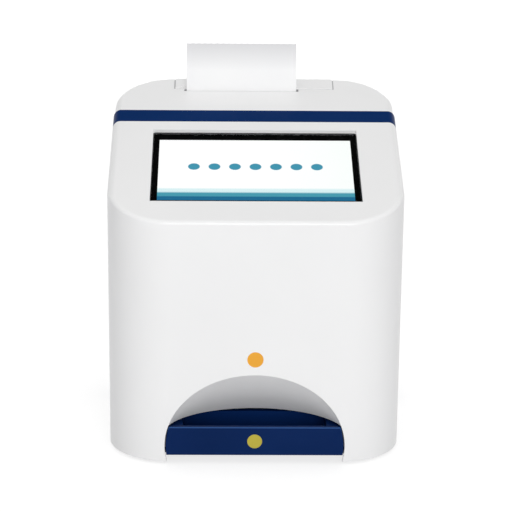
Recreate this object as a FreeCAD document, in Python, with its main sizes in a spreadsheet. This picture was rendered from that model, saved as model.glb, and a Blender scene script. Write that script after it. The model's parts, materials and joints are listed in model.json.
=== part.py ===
import FreeCAD, Part
import math
import os
import re
import Sketcher

# Rapid test reader: a bench unit with a test drawer, a sloping display and a paper printer.
#
# The frame has its origin on the resting surface, under the middle of the case: X to the right,
# Y to the back and Z up. Heights of the case are measured from its lower rim, which stands
# foot_proud above that surface. Places on the sloping top are measured up the slope from its
# front edge, and depths below it square to the slope.

# Driving sizes in millimetres and degrees
SIZES = {
    # case
    "body_width": 143.2,
    "body_depth": 127.2,
    "front_corner": 30,
    "rear_corner": 28,
    "wall": 2.2,
    "front_rim": 122,
    "top_slope": 17.5,
    "rim_fillet": 2,
    "side_round": 4,
    "rear_inset": 0.6,
    "seam_start": 89.4,
    "seam_width": 10.9,
    "seam_lip_reach": 3,
    "seam_lip_wall": 1.3,
    "seam_lip_gap": 0.1,
    "seam_lip_height": 6,
    "overrun": 1,
    # arched opening over the drawer
    "arch_side": 3.3,
    "arch_rise": 37.1,
    "arch_centre": 8,
    "scoop_angle": 48.6,
    "scoop_wall": 2.4,
    "slot_ceiling": 18.7,
    # base plate and feet
    "foot_proud": 1.2,
    "plate_gap": 0.3,
    "plate_lift": 0.6,
    "plate_thickness": 2.4,
    "plate_notch": 10,
    "foot_radius": 6.5,
    "foot_in": 22,
    "foot_peg_radius": 2,
    "foot_peg_gap": 0.1,
    "foot_peg_length": 1.4,
    "boss_radius": 4.4,
    "boss_set_in": 3.9,
    "boss_height": 13,
    "case_screw_radius": 1.5,
    "case_head_radius": 2.8,
    "case_head_height": 1.2,
    "case_head_recess": 1.4,
    "case_screw_length": 10,
    "small_screw_radius": 1,
    "small_head_radius": 2,
    "small_head_height": 1.4,
    "thread_gap": 0.05,
    "head_gap": 0.2,
    # display, along and below the slope
    "window_side": 20.8,
    "window_start": 17.6,
    "window_length": 64,
    "glass_depth": 1.5,
    "glass_thickness": 1.8,
    "glass_gap": 0.2,
    "lcd_side": 1.95,
    "lcd_length": 67.2,
    "lcd_thickness": 3,
    "lcd_gap": 0.2,
    "screen_middle": 48.2,
    "frame_side": 7.25,
    "frame_end": 3,
    "frame_depth": 8,
    "display_board_thickness": 1.6,
    "display_board_margin": 1.5,
    "display_boss_radius": 2.6,
    "display_boss_length": 4,
    "display_boss_gap": 0.2,
    "display_boss_side": 3.2,
    "display_boss_end": 7,
    "display_screw_length": 5.5,
    # drawer, measured back from the front face
    "drawer_gap": 0.5,
    "drawer_bottom": 3.3,
    "drawer_top": 18,
    "drawer_panel": 2.4,
    "drawer_side": 31.1,
    "drawer_length": 80,
    "tray_lift": 0.6,
    "tray_top": 17.2,
    "tray_floor": 1.6,
    "flange_side": 2.5,
    "flange_bottom": 6.8,
    "flange_thickness": 2,
    "flange_start": 13,
    "pocket_side": 5.5,
    "pocket_end": 23,
    "holder_side": 3.5,
    "holder_start": 29,
    "holder_length": 26,
    "holder_floor": 2,
    "holder_bottom": 9.2,
    "holder_gap": 0.1,
    "cassette_side": 1.8,
    "cassette_length": 21,
    "rear_pocket_start": 58,
    "rear_pocket_length": 16,
    "magnet_width": 12,
    "magnet_depth": 3,
    "magnet_height": 6,
    "catch_gap": 0.4,
    "catch_width": 16,
    "catch_thickness": 1.2,
    "catch_height": 14,
    "catch_foot": 6,
    # rails
    "rail_start": 11,
    "rail_width": 6,
    "rail_gap": 0.5,
    "rail_height": 14,
    "rail_play": 0.3,
    "rail_screw_in": 8,
    "rail_screw_side": 1.6,
    "rail_screw_seat": 2,
    # optics, measured back from the front face
    "bridge_start": 28,
    "bridge_length": 30,
    "bridge_leg_gap": 3,
    "bridge_thickness": 2,
    "bridge_top": 21.8,
    "bridge_foot": 6,
    "bridge_window_edge": 4.5,
    "bridge_window_side": 4,
    "box_side": 2.5,
    "box_height": 57,
    "box_wall": 1.6,
    "lens_hole_gap": 0.2,
    "camera_board_width": 32,
    "camera_board_length": 24,
    "board_thickness": 1.6,
    "barrel_radius": 6,
    "barrel_length": 10,
    "lens_radius": 4.6,
    "lens_thickness": 2.2,
    "lens_gap": 0.1,
    "lens_lip": 0.8,
    "lamp_board_length": 22,
    "lamp_board_height": 30,
    "lamp_board_lift": 8,
    "lamp_side": 3,
    "lamp_height": 1.5,
    "lamp_spacing": 12,
    # printer lid and hinge
    "lid_width": 81.2,
    "lid_start": 122,
    "lid_gap": 0.6,
    "lid_proud": 0.4,
    "lid_wall": 2,
    "nail_notch_width": 9,
    "nail_notch_length": 2.4,
    "nail_notch_in": 3,
    "hinge_inset": 3.5,
    "hinge_drop": 51.3,
    "hinge_radius": 3.5,
    "hinge_length": 60,
    "hinge_side_gap": 0.3,
    "hinge_lug_width": 6,
    "hinge_lug_height": 10,
    "hinge_clear": 0.6,
    "hinge_pin_radius": 1.5,
    "shaft_gap": 0.05,
    # paper, platen and roll
    "paper_width": 56.5,
    "paper_centre": -6.5,
    "paper_start": 120,
    "paper_thickness": 0.2,
    "paper_clear": 0.3,
    "paper_straight": 2.9,
    "paper_curl_radius": 24,
    "paper_curl_angle": 55,
    "mouth_start": 119.2,
    "mouth_side": 1.2,
    "roll_radius": 18,
    "roll_core_radius": 7.6,
    "roll_core_wall": 1.4,
    "roll_forward": 13.45,
    "roll_drop": 36.3,
    "roll_side_gap": 1.1,
    "spindle_radius": 6,
    "platen_radius": 4.2,
    "platen_shaft_radius": 2,
    "platen_drop": 13.3,
    "platen_side": 0.6,
    "snug_gap": 0.02,
    "ear_gap": 0.4,
    "ear_thickness": 1.2,
    "ear_radius": 5.5,
    "bush_radius": 3.2,
    "bush_slot_gap": 0.4,
    "bucket_wall": 1.3,
    "bucket_front_gap": 1.2,
    "bucket_below": 1,
    "bucket_rear_reach": 11,
    "bucket_top_reach": 12,
    "ear_shelf_thickness": 2,
    "ear_shelf_drop": 8,
    "ear_shelf_left": 10,
    "ear_shelf_right": 28,
    "post_radius": 3.5,
    "post_spacing": 13,
    "post_gap": 0.6,
    "frame_plate": 1.2,
    "frame_plate_below": 18,
    "frame_plate_above": 6,
    "frame_plate_front": 15,
    "head_thickness": 1.8,
    "head_height": 12,
    "tear_bar_height": 4,
    "tear_bar_thickness": 1,
    # printer drive
    "gear_module": 0.5,
    "platen_teeth": 16,
    "idler_teeth": 28,
    "pinion_teeth": 12,
    "tooth_reach_share": 0.7,
    "root_depth_share": 1.1,
    "tooth_foot_share": 0.25,
    "tooth_tip_share": 0.1,
    "gear_width": 3,
    "gear_side_gap": 0.6,
    "gear_mesh_gap": 0.1,
    "idler_pin_radius": 1,
    "motor_radius": 9,
    "motor_length": 12,
    "motor_shaft_radius": 1,
    "motor_drop_angle": 45,
    "bracket_thickness": 1.2,
    "bracket_reach": 8.6,
    "bracket_post_radius": 2,
    "bracket_tab_radius": 2.5,
    # rear electronics, measured forward from the back face
    "board_width": 100,
    "board_front": 41.5,
    "board_rear": 4.6,
    "board_height": 8,
    "board_post_radius": 3,
    "board_post_side": 5,
    "board_post_front": 4,
    "board_post_rear": 12,
    "board_screw_length": 5,
    "port_recess": 0.4,
    "port_gap": 0.3,
    "usb_width": 13.2,
    "usb_height": 5.8,
    "usb_depth": 14,
    "usb_spacing": 16,
    "usb_first": 20,
    "port_shell": 0.6,
    "usb_mouth_depth": 9,
    "data_width": 16,
    "data_height": 13.4,
    "data_depth": 15,
    "data_shell": 2,
    "data_place": 2,
    "power_width": 9.2,
    "power_height": 11,
    "power_depth": 14,
    "power_place": -12,
    "power_mouth_radius": 3.2,
    "power_pin_radius": 1,
    "switch_width": 20,
    "switch_height": 14,
    "switch_depth": 15,
    "switch_place": -31,
    "switch_lift": 24,
    "switch_wall": 1.2,
    "switch_flange": 2,
    "switch_flange_thickness": 1.5,
    "rocker_side_gap": 0.3,
    "rocker_depth": 5,
    "rocker_axis_in": 5,
    "rocker_face_in": 1.6,
    "rocker_tilt": 7,
    "rocker_pin_radius": 1.2,
    "rocker_end_gap": 0.9,
    "heat_sink_place_share": 0.125,
    "heat_sink_side": 18,
    "heat_sink_height": 9,
    "heat_sink_fins": 5,
    "heat_sink_base": 2,
    "heat_sink_fin": 1.4,
    "buzzer_place_share": 0.25,
    "buzzer_radius": 6,
    "buzzer_height": 5,
    "buzzer_sound_radius": 1,
    "vent_count": 9,
    "vent_width": 2,
    "vent_spacing": 5,
    "vent_height": 22,
    "vent_low": 58,
    # flat cables
    "ribbon_thickness": 0.5,
    "ribbon_width": 16,
    "ribbon_bend": 4,
    "ribbon_place": 25,
    "cable_start": 0.6,
    "cable_width": 9,
    "cable_gap": 0.4,
    "cable_drop": 8,
    "cable_foot": 8,
}

doc = FreeCAD.newDocument("rapid_test_reader")
sheet = doc.addObject("Spreadsheet::Sheet", "Sizes")
for row, (size_name, amount) in enumerate(SIZES.items(), start=1):
    sheet.set(f"A{row}", size_name)
    sheet.set(f"B{row}", str(amount))
    sheet.setAlias(f"B{row}", size_name)
doc.recompute()

nodes = []
AXES = {
    "x": FreeCAD.Vector(1, 0, 0),
    "y": FreeCAD.Vector(0, 1, 0),
    "z": FreeCAD.Vector(0, 0, 1),
}
TURNS = {
    "x": FreeCAD.Rotation(AXES["y"], 90),
    "y": FreeCAD.Rotation(AXES["x"], -90),
    "z": FreeCAD.Rotation(),
}


# Helpers that bind shapes to the sheet
def bound(formula):
    """The formula with each size read from the sheet."""
    return re.sub(r"[A-Za-z_]\w*", lambda word: f"Sizes.{word[0]}" if word[0] in SIZES else word[0], formula)


def bind(shape, place, formula):
    shape.setExpression(place, bound(formula))


def value(formula):
    """The formula's number, for the shapes that are worked out point by point."""
    return float(sheet.evalExpression(bound(formula)))


def node(label, shape):
    """Names a finished sub-part."""
    shape.Label = label
    nodes.append(shape)
    return shape


def box(name, x, y, z):
    """A box from its low to its high place on each axis."""
    shape = doc.addObject("Part::Box", name)
    for side, axis, (low, high) in zip(("Length", "Width", "Height"), "xyz", (x, y, z)):
        bind(shape, side, f"({high}) - ({low})")
        bind(shape, f"Placement.Base.{axis}", low)
    return shape


def rod(name, axis, radius, along, across, up=None):
    """A round bar along an axis, placed by its middle on the other two axes."""
    shape = doc.addObject("Part::Cylinder", name)
    shape.Placement = FreeCAD.Placement(FreeCAD.Vector(), TURNS[axis])
    bind(shape, "Radius", radius)
    bind(shape, "Height", f"({along[1]}) - ({along[0]})")
    bind(shape, f"Placement.Base.{axis}", along[0])
    others = [name for name in "xyz" if name != axis]
    for other, place in zip(others, (across, up)):
        bind(shape, f"Placement.Base.{other}", place)
    return shape


def slope_turn(shape, x, s, n, axis=AXES["x"], angle="top_slope"):
    """Lays a shape square to the sloping top."""
    shape.Placement = FreeCAD.Placement(FreeCAD.Vector(), FreeCAD.Rotation(axis, 1))
    bind(shape, "Placement.Rotation.Angle", angle)
    bind(shape, "Placement.Base.x", x)
    bind(shape, "Placement.Base.y", slope_y(s, n))
    bind(shape, "Placement.Base.z", slope_z(s, n))


def slope_box(name, x, s, n):
    """A box square to the sloping top."""
    shape = doc.addObject("Part::Box", name)
    slope_turn(shape, x[0], s[0], n[0])
    for side, (low, high) in zip(("Length", "Width", "Height"), (x, s, n)):
        bind(shape, side, f"({high}) - ({low})")
    return shape


def slope_rod(name, radius, x, s, n):
    """A round bar square to the sloping top."""
    shape = doc.addObject("Part::Cylinder", name)
    slope_turn(shape, x, s, n[0])
    bind(shape, "Radius", radius)
    bind(shape, "Height", f"({n[1]}) - ({n[0]})")
    return shape


def slope_bar(name, radius, x, s, n):
    """A round bar that runs up the sloping top."""
    shape = doc.addObject("Part::Cylinder", name)
    slope_turn(shape, x, s[0], n, -AXES["x"], f"{QUARTER_TURN} - top_slope")
    bind(shape, "Radius", radius)
    bind(shape, "Height", f"({s[1]}) - ({s[0]})")
    return shape


def join(name, *pieces):
    if len(pieces) == 1:
        return pieces[0]
    shape = doc.addObject("Part::MultiFuse", name)
    shape.Shapes = list(pieces)
    shape.Refine = True
    return shape


def cut(name, base, *tools):
    shape = doc.addObject("Part::Cut", name)
    shape.Base = base
    shape.Tool = join(name + "_tools", *tools)
    return shape


def keep(name, *pieces):
    """What all the pieces share."""
    shape = doc.addObject("Part::MultiCommon", name)
    shape.Shapes = list(pieces)
    return shape


def group(name, pieces):
    """Separate solids of one kind in one sub-part."""
    shape = doc.addObject("Part::Compound", name)
    shape.Links = list(pieces)
    return shape


def ring(name, axis, radius, bore, along, across, up):
    outer = rod(name + "_outer", axis, radius, along, across, up)
    inner = rod(name + "_bore", axis, bore, longer(along), across, up)
    return cut(name, outer, inner)


def longer(span):
    """A span with the cutting overrun at both ends."""
    return f"({span[0]}) - overrun", f"({span[1]}) + overrun"


def around(middle, width):
    """A span of a width about its middle."""
    return f"({middle}) - ({width}) / 2", f"({middle}) + ({width}) / 2"


def side_span(sign, near, far):
    """A span on the left (-1) or the right (1), from near the middle to far from it."""
    if sign < 0:
        return f"-({far})", f"-({near})"
    return near, far


SIDES = (("left", -1), ("right", 1))
HALF_TURN = 180
QUARTER_TURN = 90


# Places that many pieces share
def up(height):
    """A height above the case's lower rim."""
    return f"(foot_proud + ({height}))"


def back(distance):
    """A place measured back from the front face."""
    return f"(-body_depth / 2 + ({distance}))"


def forward(distance):
    """A place measured forward from the back face."""
    return f"(body_depth / 2 - ({distance}))"


def slope_y(s, n="0"):
    return f"(-body_depth / 2 + ({s}) * cos(top_slope * 1deg) - ({n}) * sin(top_slope * 1deg))"


def slope_z(s, n="0"):
    return f"(foot_proud + front_rim + ({s}) * sin(top_slope * 1deg) + ({n}) * cos(top_slope * 1deg))"


TALL = "(front_rim + body_depth * tan(top_slope * 1deg))"
PLATE_TOP = up("plate_lift + plate_thickness")
WINDOW_WIDTH = "(body_width - 2 * window_side)"
LCD_WIDTH = f"({WINDOW_WIDTH} + 2 * lcd_side)"
DRAWER_WIDTH = "(body_width - 2 * drawer_side)"
HOLDER_WIDTH = f"({DRAWER_WIDTH} - 2 * holder_side)"
CASSETTE_WIDTH = f"({HOLDER_WIDTH} - 2 * cassette_side)"
POCKET_WIDTH = f"({DRAWER_WIDTH} - 2 * pocket_side)"
ARCH_HALF_WIDTH = f"({DRAWER_WIDTH} / 2 + arch_side)"
BOX_WIDTH = f"({DRAWER_WIDTH} - 2 * box_side)"
SEAM_Y = (slope_y("seam_start"), slope_y("seam_start + seam_width"))
SLOT_Y = slope_y("paper_start")
SLOT_Z = slope_z("paper_start")
PLATEN_Y = f"({SLOT_Y} + paper_thickness / 2 + paper_clear + platen_radius)"
PLATEN_Z = f"({SLOT_Z} - platen_drop)"
ROLL_Y = f"({SLOT_Y} - roll_forward)"
ROLL_Z = f"({SLOT_Z} - roll_drop)"
HINGE_Y = forward("hinge_inset")
HINGE_Z = f"({SLOT_Z} - hinge_drop)"
DRAWER_REAR = back("drawer_length")
PAPER_X = around("paper_centre", "paper_width")
BUCKET_X = around("paper_centre", "paper_width + 2 * roll_side_gap")
SWITCH_Z = up("switch_lift")
BOARD_TOP = up("board_height + board_thickness")
WHOLE_X = longer(around("0", "body_width"))
WHOLE_Y = longer(around("0", "body_depth"))
WHOLE_Z = ("-overrun", f"{TALL} + foot_proud + 4 * overrun")


# Case
def outline_sketch(body, plane, points):
    """A closed outline of straight lines on one of the body's own planes."""
    sketch = body.newObject("Sketcher::SketchObject", body.Name + "_outline")
    planes = [feature for feature in body.Origin.OriginFeatures if feature.Role == plane]
    sketch.AttachmentSupport = (planes[0], "")
    sketch.MapMode = "FlatFace"
    places = [FreeCAD.Vector(value(across), value(height), 0) for across, height in points]
    count = len(places)
    for index, place in enumerate(places):
        sketch.addGeometry(Part.LineSegment(place, places[(index + 1) % count]), False)
    for index in range(count):
        sketch.addConstraint(Sketcher.Constraint("Coincident", index, 2, (index + 1) % count, 1))
    for index, (across, height) in enumerate(points):
        for kind, formula in (("DistanceX", across), ("DistanceY", height)):
            name = f"{kind}{index}"
            number = sketch.addConstraint(Sketcher.Constraint(kind, -1, 1, index, 1, value(formula)))
            sketch.renameConstraint(number, name)
            sketch.setExpression(f"Constraints.{name}", bound(formula))
    return sketch


def body_fillet(body, base, radius, wanted):
    """Rounds the edges whose middle passes the test."""
    doc.recompute()
    edges = []
    for number, edge in enumerate(base.Shape.Edges, start=1):
        if wanted(edge.valueAt((edge.FirstParameter + edge.LastParameter) / 2), edge):
            edges.append(f"Edge{number}")
    fillet = body.newObject("PartDesign::Fillet", body.Name + "_fillet")
    fillet.Base = (base, edges)
    bind(fillet, "Radius", radius)
    return fillet


def case_form(name, side_inset, end_inset, top_inset, foot, rim_radius=None):
    """The case's solid form: a rounded block whose top is cut by the slope."""
    half = f"(body_width / 2 - ({side_inset}))"
    deep = f"(body_depth / 2 - ({end_inset}))"
    body = doc.addObject("PartDesign::Body", name)
    corners = [(f"-{half}", f"-{deep}"), (half, f"-{deep}"), (half, deep), (f"-{half}", deep)]
    plan = outline_sketch(body, "XY_Plane", corners)
    pad = body.newObject("PartDesign::Pad", name + "_block")
    pad.Profile = plan
    bind(pad, "Length", f"{TALL} + foot_proud - ({foot}) + 2 * overrun")
    bind(body, "Placement.Base.z", foot)

    def upright(middle, edge):
        return abs(edge.tangentAt(edge.FirstParameter).z) > abs(edge.tangentAt(edge.FirstParameter).x) + 0.5

    front = body_fillet(body, pad, f"front_corner - ({end_inset})", lambda middle, edge: upright(middle, edge)
                        and middle.y < 0)
    rear = body_fillet(body, front, f"rear_corner - ({end_inset})", lambda middle, edge: upright(middle, edge)
                       and middle.y > 0 and abs(middle.x) > value(half) - value("overrun") / 2)
    low = f"(foot_proud + front_rim - ({foot}) - ({top_inset}) / cos(top_slope * 1deg))"
    reach = "(body_depth / 2 + 2 * overrun)"
    rise = f"({reach} - body_depth / 2) * tan(top_slope * 1deg)"
    above = f"({TALL} + foot_proud - ({foot}) + 5 * overrun)"
    wedge = [(f"-{reach}", f"{low} - {rise}"),
             (reach, f"{low} + {rise} + body_depth * tan(top_slope * 1deg)"),
             (reach, above), (f"-{reach}", above)]
    section = outline_sketch(body, "YZ_Plane", wedge)
    slope_cut = body.newObject("PartDesign::Pocket", name + "_slope")
    slope_cut.Profile = section
    slope_cut.Type = "ThroughAll"
    slope_cut.Midplane = True
    doc.recompute()
    if rim_radius:
        limit = value(f"{low} - overrun")
        body_fillet(body, slope_cut, rim_radius, lambda middle, edge: middle.z - value(foot) > limit)
    doc.recompute()
    return body


def side_rounded(name, form, inset):
    """The form with its top edges along the two sides rounded more than its rim."""
    half = f"(body_width / 2 - ({inset}) - side_round)"
    run = ("-body_depth", "2 * body_depth")
    middle = slope_box(name + "_middle", (f"-{half}", half), run, ("-2 * side_round", "overrun"))
    lower = slope_box(name + "_lower", WHOLE_X, run, (f"-2 * {TALL}", "-side_round"))
    bars = [slope_bar(f"{name}_{side}", "side_round", f"{sign} * {half}", run, "-side_round")
            for side, sign in SIDES]
    return keep(name, form, join(name + "_section", middle, lower, *bars))


outer_form = side_rounded("outer_rounded", case_form("outer_form", "0", "0", "0", "foot_proud", "rim_fillet"),
                          "0")
inner_form = case_form("inner_form", "wall", "wall", "wall", "foot_proud - overrun")
rear_form = side_rounded("rear_rounded",
                         case_form("rear_form", "rear_inset", "0", "0", "foot_proud", "rim_fillet"),
                         "rear_inset")
rear_hollow = case_form("rear_hollow", "wall + rear_inset", "wall", "wall", "foot_proud - overrun")
LIP_OUT = "wall + rear_inset + seam_lip_gap"
lip_form = case_form("lip_form", LIP_OUT, LIP_OUT, LIP_OUT, "foot_proud")
lip_hollow = case_form("lip_hollow", f"{LIP_OUT} + seam_lip_wall", f"{LIP_OUT} + seam_lip_wall",
                       f"{LIP_OUT} + seam_lip_wall", "foot_proud - overrun")
lid_form = case_form("lid_form", "0", "0", "-lid_proud", "foot_proud", "rim_fillet")
lid_hollow = case_form("lid_hollow", "0", "lid_wall", "lid_wall", "foot_proud - overrun")


def slab(name, y):
    """All of the case between two places from front to back."""
    return box(name, WHOLE_X, y, WHOLE_Z)


def corner_place(corner, half_depth_sign):
    """Where a case screw stands in a rounded corner: across and front to back."""
    reach = f"({corner} - wall - boss_set_in) * cos(45deg)"
    across = f"(body_width / 2 - {corner} + {reach})"
    return across, f"({half_depth_sign} * (body_depth / 2 - {corner} + {reach}))"


CORNERS = [(side, sign, end, corner_place(corner, end_sign))
           for side, sign in SIDES
           for end, corner, end_sign in (("front", "front_corner", "-1"), ("rear", "rear_corner", "1"))]


def case_bosses(end):
    """The bosses that take the case screws, in the corners of one cover."""
    bosses = []
    bores = []
    for side, sign, place_end, (across, y) in CORNERS:
        if place_end == end:
            x = f"{sign} * {across}"
            span = (PLATE_TOP, f"{PLATE_TOP} + boss_height")
            bosses.append(rod(f"boss_{end}_{side}", "z", "boss_radius", span, x, y))
            bores.append(rod(f"boss_bore_{end}_{side}", "z", "case_screw_radius + thread_gap",
                             (f"{PLATE_TOP} - overrun", f"{PLATE_TOP} + case_screw_length"), x, y))
    return bosses, bores


def ellipse_bar(name, grow, start_back, angle, length):
    """A bar with the arch's outline, which runs back from the front face and down by an angle."""
    outline = doc.addObject("Part::Ellipse", name + "_outline")
    longer_half = f"{ARCH_HALF_WIDTH} + ({grow})"
    shorter_half = f"arch_rise + ({grow})"
    turn = FreeCAD.Rotation(AXES["x"], 90)
    if value(shorter_half) > value(longer_half):
        longer_half, shorter_half = shorter_half, longer_half
        turn = turn * FreeCAD.Rotation(AXES["z"], 90)
    outline.Placement = FreeCAD.Placement(FreeCAD.Vector(), turn)
    bind(outline, "MajorRadius", longer_half)
    bind(outline, "MinorRadius", shorter_half)
    bind(outline, "Placement.Base.y", back(f"-({start_back}) * cos({angle})"))
    bind(outline, "Placement.Base.z", up(f"arch_centre + ({start_back}) * sin({angle})"))
    bar = doc.addObject("Part::Extrusion", name)
    bar.Base = outline
    bar.DirMode = "Custom"
    bar.Dir = FreeCAD.Vector(0, 1, 0)
    bind(bar, "Dir.y", f"cos({angle})")
    bind(bar, "Dir.z", f"-sin({angle})")
    bind(bar, "LengthFwd", length)
    bar.Solid = True
    return bar


SCOOP = "(scoop_angle * 1deg)"
SCOOP_REACH = f"((arch_centre + arch_rise + scoop_wall) / sin{SCOOP} + 2 * overrun)"
ABOVE_SLOT = (up("slot_ceiling"), up("front_rim / 2"))
BELOW_SLOT = ("-overrun", up("slot_ceiling"))


def front_cover():
    form = cut("front_shell", keep("front_form", outer_form, slab("front_slab", (WHOLE_Y[0], SEAM_Y[0]))),
               inner_form)
    scoop_zone = box("scoop_zone", WHOLE_X, (back("0"), SEAM_Y[0]), ABOVE_SLOT)
    scoop = keep("scoop_outside", ellipse_bar("scoop_outer", "scoop_wall", "0", SCOOP, SCOOP_REACH),
                 scoop_zone)
    hollow = keep("scoop_inside", ellipse_bar("scoop_inner", "0", "overrun", SCOOP, SCOOP_REACH),
                  box("scoop_cut_zone", WHOLE_X, longer((back("0"), SEAM_Y[0])), ABOVE_SLOT))
    mouth = keep("slot_mouth", ellipse_bar("slot_outline", "0", "overrun", "0deg", "wall + 2 * overrun"),
                 box("slot_zone", WHOLE_X, longer((back("0"), back("wall"))), BELOW_SLOT))
    window = slope_box("window", around("0", WINDOW_WIDTH),
                       ("window_start", "window_start + window_length"), ("-wall - overrun", "overrun"))
    bosses, bores = case_bosses("front")
    for x, s, name in display_boss_places():
        bosses.append(slope_rod("display_boss_" + name, "display_boss_radius", x, s,
                                ("-wall - display_boss_length", "-wall / 2")))
        bores.append(slope_rod("display_boss_bore_" + name, "small_screw_radius + thread_gap", x, s,
                               ("-wall - display_boss_length - overrun", "-wall")))
    solid = join("front_solid", form, keep("front_scoop", scoop, outer_form), *bosses)
    inside = keep("front_inside", solid, outer_form)
    node("front_cover", cut("front_cover", inside, hollow, mouth, window, *bores))


def display_boss_places():
    side = f"{LCD_WIDTH} / 2 + display_boss_side + lcd_gap"
    low = "screen_middle - lcd_length / 2 + display_boss_end"
    high = "screen_middle + lcd_length / 2 - display_boss_end"
    return [(f"{sign} * ({side})", s, f"{side_name}_{end}")
            for side_name, sign in SIDES for end, s in (("low", low), ("high", high))]


def seam_band():
    ring_part = cut("band_ring", keep("band_form", outer_form, slab("band_slab", SEAM_Y)), lip_hollow)
    lip_span = (f"{SEAM_Y[0]} - seam_lip_reach", f"{SEAM_Y[1]} + seam_lip_reach")
    lip = keep("band_lip_form", lip_form,
               box("band_lip_zone", WHOLE_X, lip_span, (up("seam_lip_height"), WHOLE_Z[1])))
    lip_ring = cut("band_lip", lip, lip_hollow)
    plate_room = box("band_plate_room", around("0", "body_width - 2 * wall"), longer(lip_span),
                     ("-overrun", up("seam_lip_height")))
    node("seam_band", cut("seam_band", join("band_solid", ring_part, lip_ring), plate_room))


LID_FRONT = "lid_start - lid_gap"
HINGE_BOTTOM = f"({HINGE_Z} - hinge_radius - hinge_clear)"
LID_X = around("0", "lid_width")
SHELF_Z = (f"{ROLL_Z} - ear_shelf_drop - ear_shelf_thickness", f"{ROLL_Z} - ear_shelf_drop")
CHEEK_X = (f"({BUCKET_X[0]} - bucket_wall)", f"({BUCKET_X[1]} + bucket_wall)")
POST_Y = f"({SEAM_Y[1]} + seam_lip_reach + post_radius + post_gap)"
POSTS = [(side, x, y, name)
         for side, x in (("left", f"({CHEEK_X[0]} - ear_shelf_left)"),
                         ("right", f"({CHEEK_X[1]} + ear_shelf_right)"))
         for name, y in (("front", POST_Y), ("rear", f"({POST_Y} + post_spacing)"))]


def wall_hole(name, middle, width, z):
    """A cut-out in the back wall for a port."""
    return box(name, around(middle, f"{width} + 2 * port_gap"), longer((forward("wall"), forward("0"))),
               (f"{z[0]} - port_gap", f"{z[1]} + port_gap"))


def rear_cover():
    form = keep("rear_outside", rear_form, slab("rear_slab", (SEAM_Y[1], WHOLE_Y[1])))
    shell = cut("rear_shell", form, rear_hollow)
    lid_hole = box("lid_hole", around("0", "lid_width + 2 * lid_gap"), (slope_y(LID_FRONT), WHOLE_Y[1]),
                   (HINGE_BOTTOM, WHOLE_Z[1]))
    mouth = slope_box("paper_mouth", (f"{PAPER_X[0]} - mouth_side", f"{PAPER_X[1]} + mouth_side"),
                      ("mouth_start", "lid_start"), ("-wall - 2 * overrun", "overrun"))
    bosses, bores = case_bosses("rear")
    for side, x, y, name in POSTS:
        bosses.append(rod(f"post_{side}_{name}", "z", "post_radius", (SHELF_Z[1], WHOLE_Z[1]), x, y))
        bores.append(rod(f"post_bore_{side}_{name}", "z", "small_screw_radius + thread_gap",
                         (f"{SHELF_Z[1]} - overrun", f"{SHELF_Z[1]} + board_screw_length"), x, y))
    for side, sign in SIDES:
        lug = side_span(sign, "hinge_length / 2 + hinge_side_gap",
                        "hinge_length / 2 + hinge_side_gap + hinge_lug_width")
        bosses.append(rod(f"hinge_lug_{side}", "x", "hinge_radius - hinge_side_gap", lug, HINGE_Y, HINGE_Z))
        bosses.append(box(f"hinge_rib_{side}", lug, (f"{HINGE_Y} - hinge_radius / 2", forward("wall / 2")),
                          (f"{HINGE_Z} - hinge_lug_height", f"{HINGE_Z} - hinge_radius / 2")))
        bores.append(rod(f"hinge_bore_{side}", "x", "hinge_pin_radius + shaft_gap",
                         longer(lug), HINGE_Y, HINGE_Z))
    inside = keep("rear_inside", join("rear_fittings", *bosses), rear_form)
    holes = [wall_hole("data_hole", "data_place", "data_width", (BOARD_TOP, f"{BOARD_TOP} + data_height")),
             wall_hole("power_hole", "power_place", "power_width",
                       (BOARD_TOP, f"{BOARD_TOP} + power_height")),
             wall_hole("switch_hole", "switch_place", "switch_width",
                       (f"{SWITCH_Z} - switch_height / 2", f"{SWITCH_Z} + switch_height / 2"))]
    for index in range(2):
        holes.append(wall_hole(f"usb_hole_{index}", f"usb_first + {index} * usb_spacing", "usb_width",
                               (BOARD_TOP, f"{BOARD_TOP} + usb_height")))
    for index in range(SIZES["vent_count"]):
        place = f"({index} - (vent_count - 1) / 2) * vent_spacing"
        holes.append(box(f"vent_{index}", around(place, "vent_width"),
                         longer((forward("wall"), forward("0"))),
                         (up("vent_low"), up("vent_low + vent_height"))))
    opened = cut("rear_opened", shell, lid_hole, mouth, *holes)
    node("rear_cover", cut("rear_cover", join("rear_solid", opened, inside), *bores))


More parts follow.
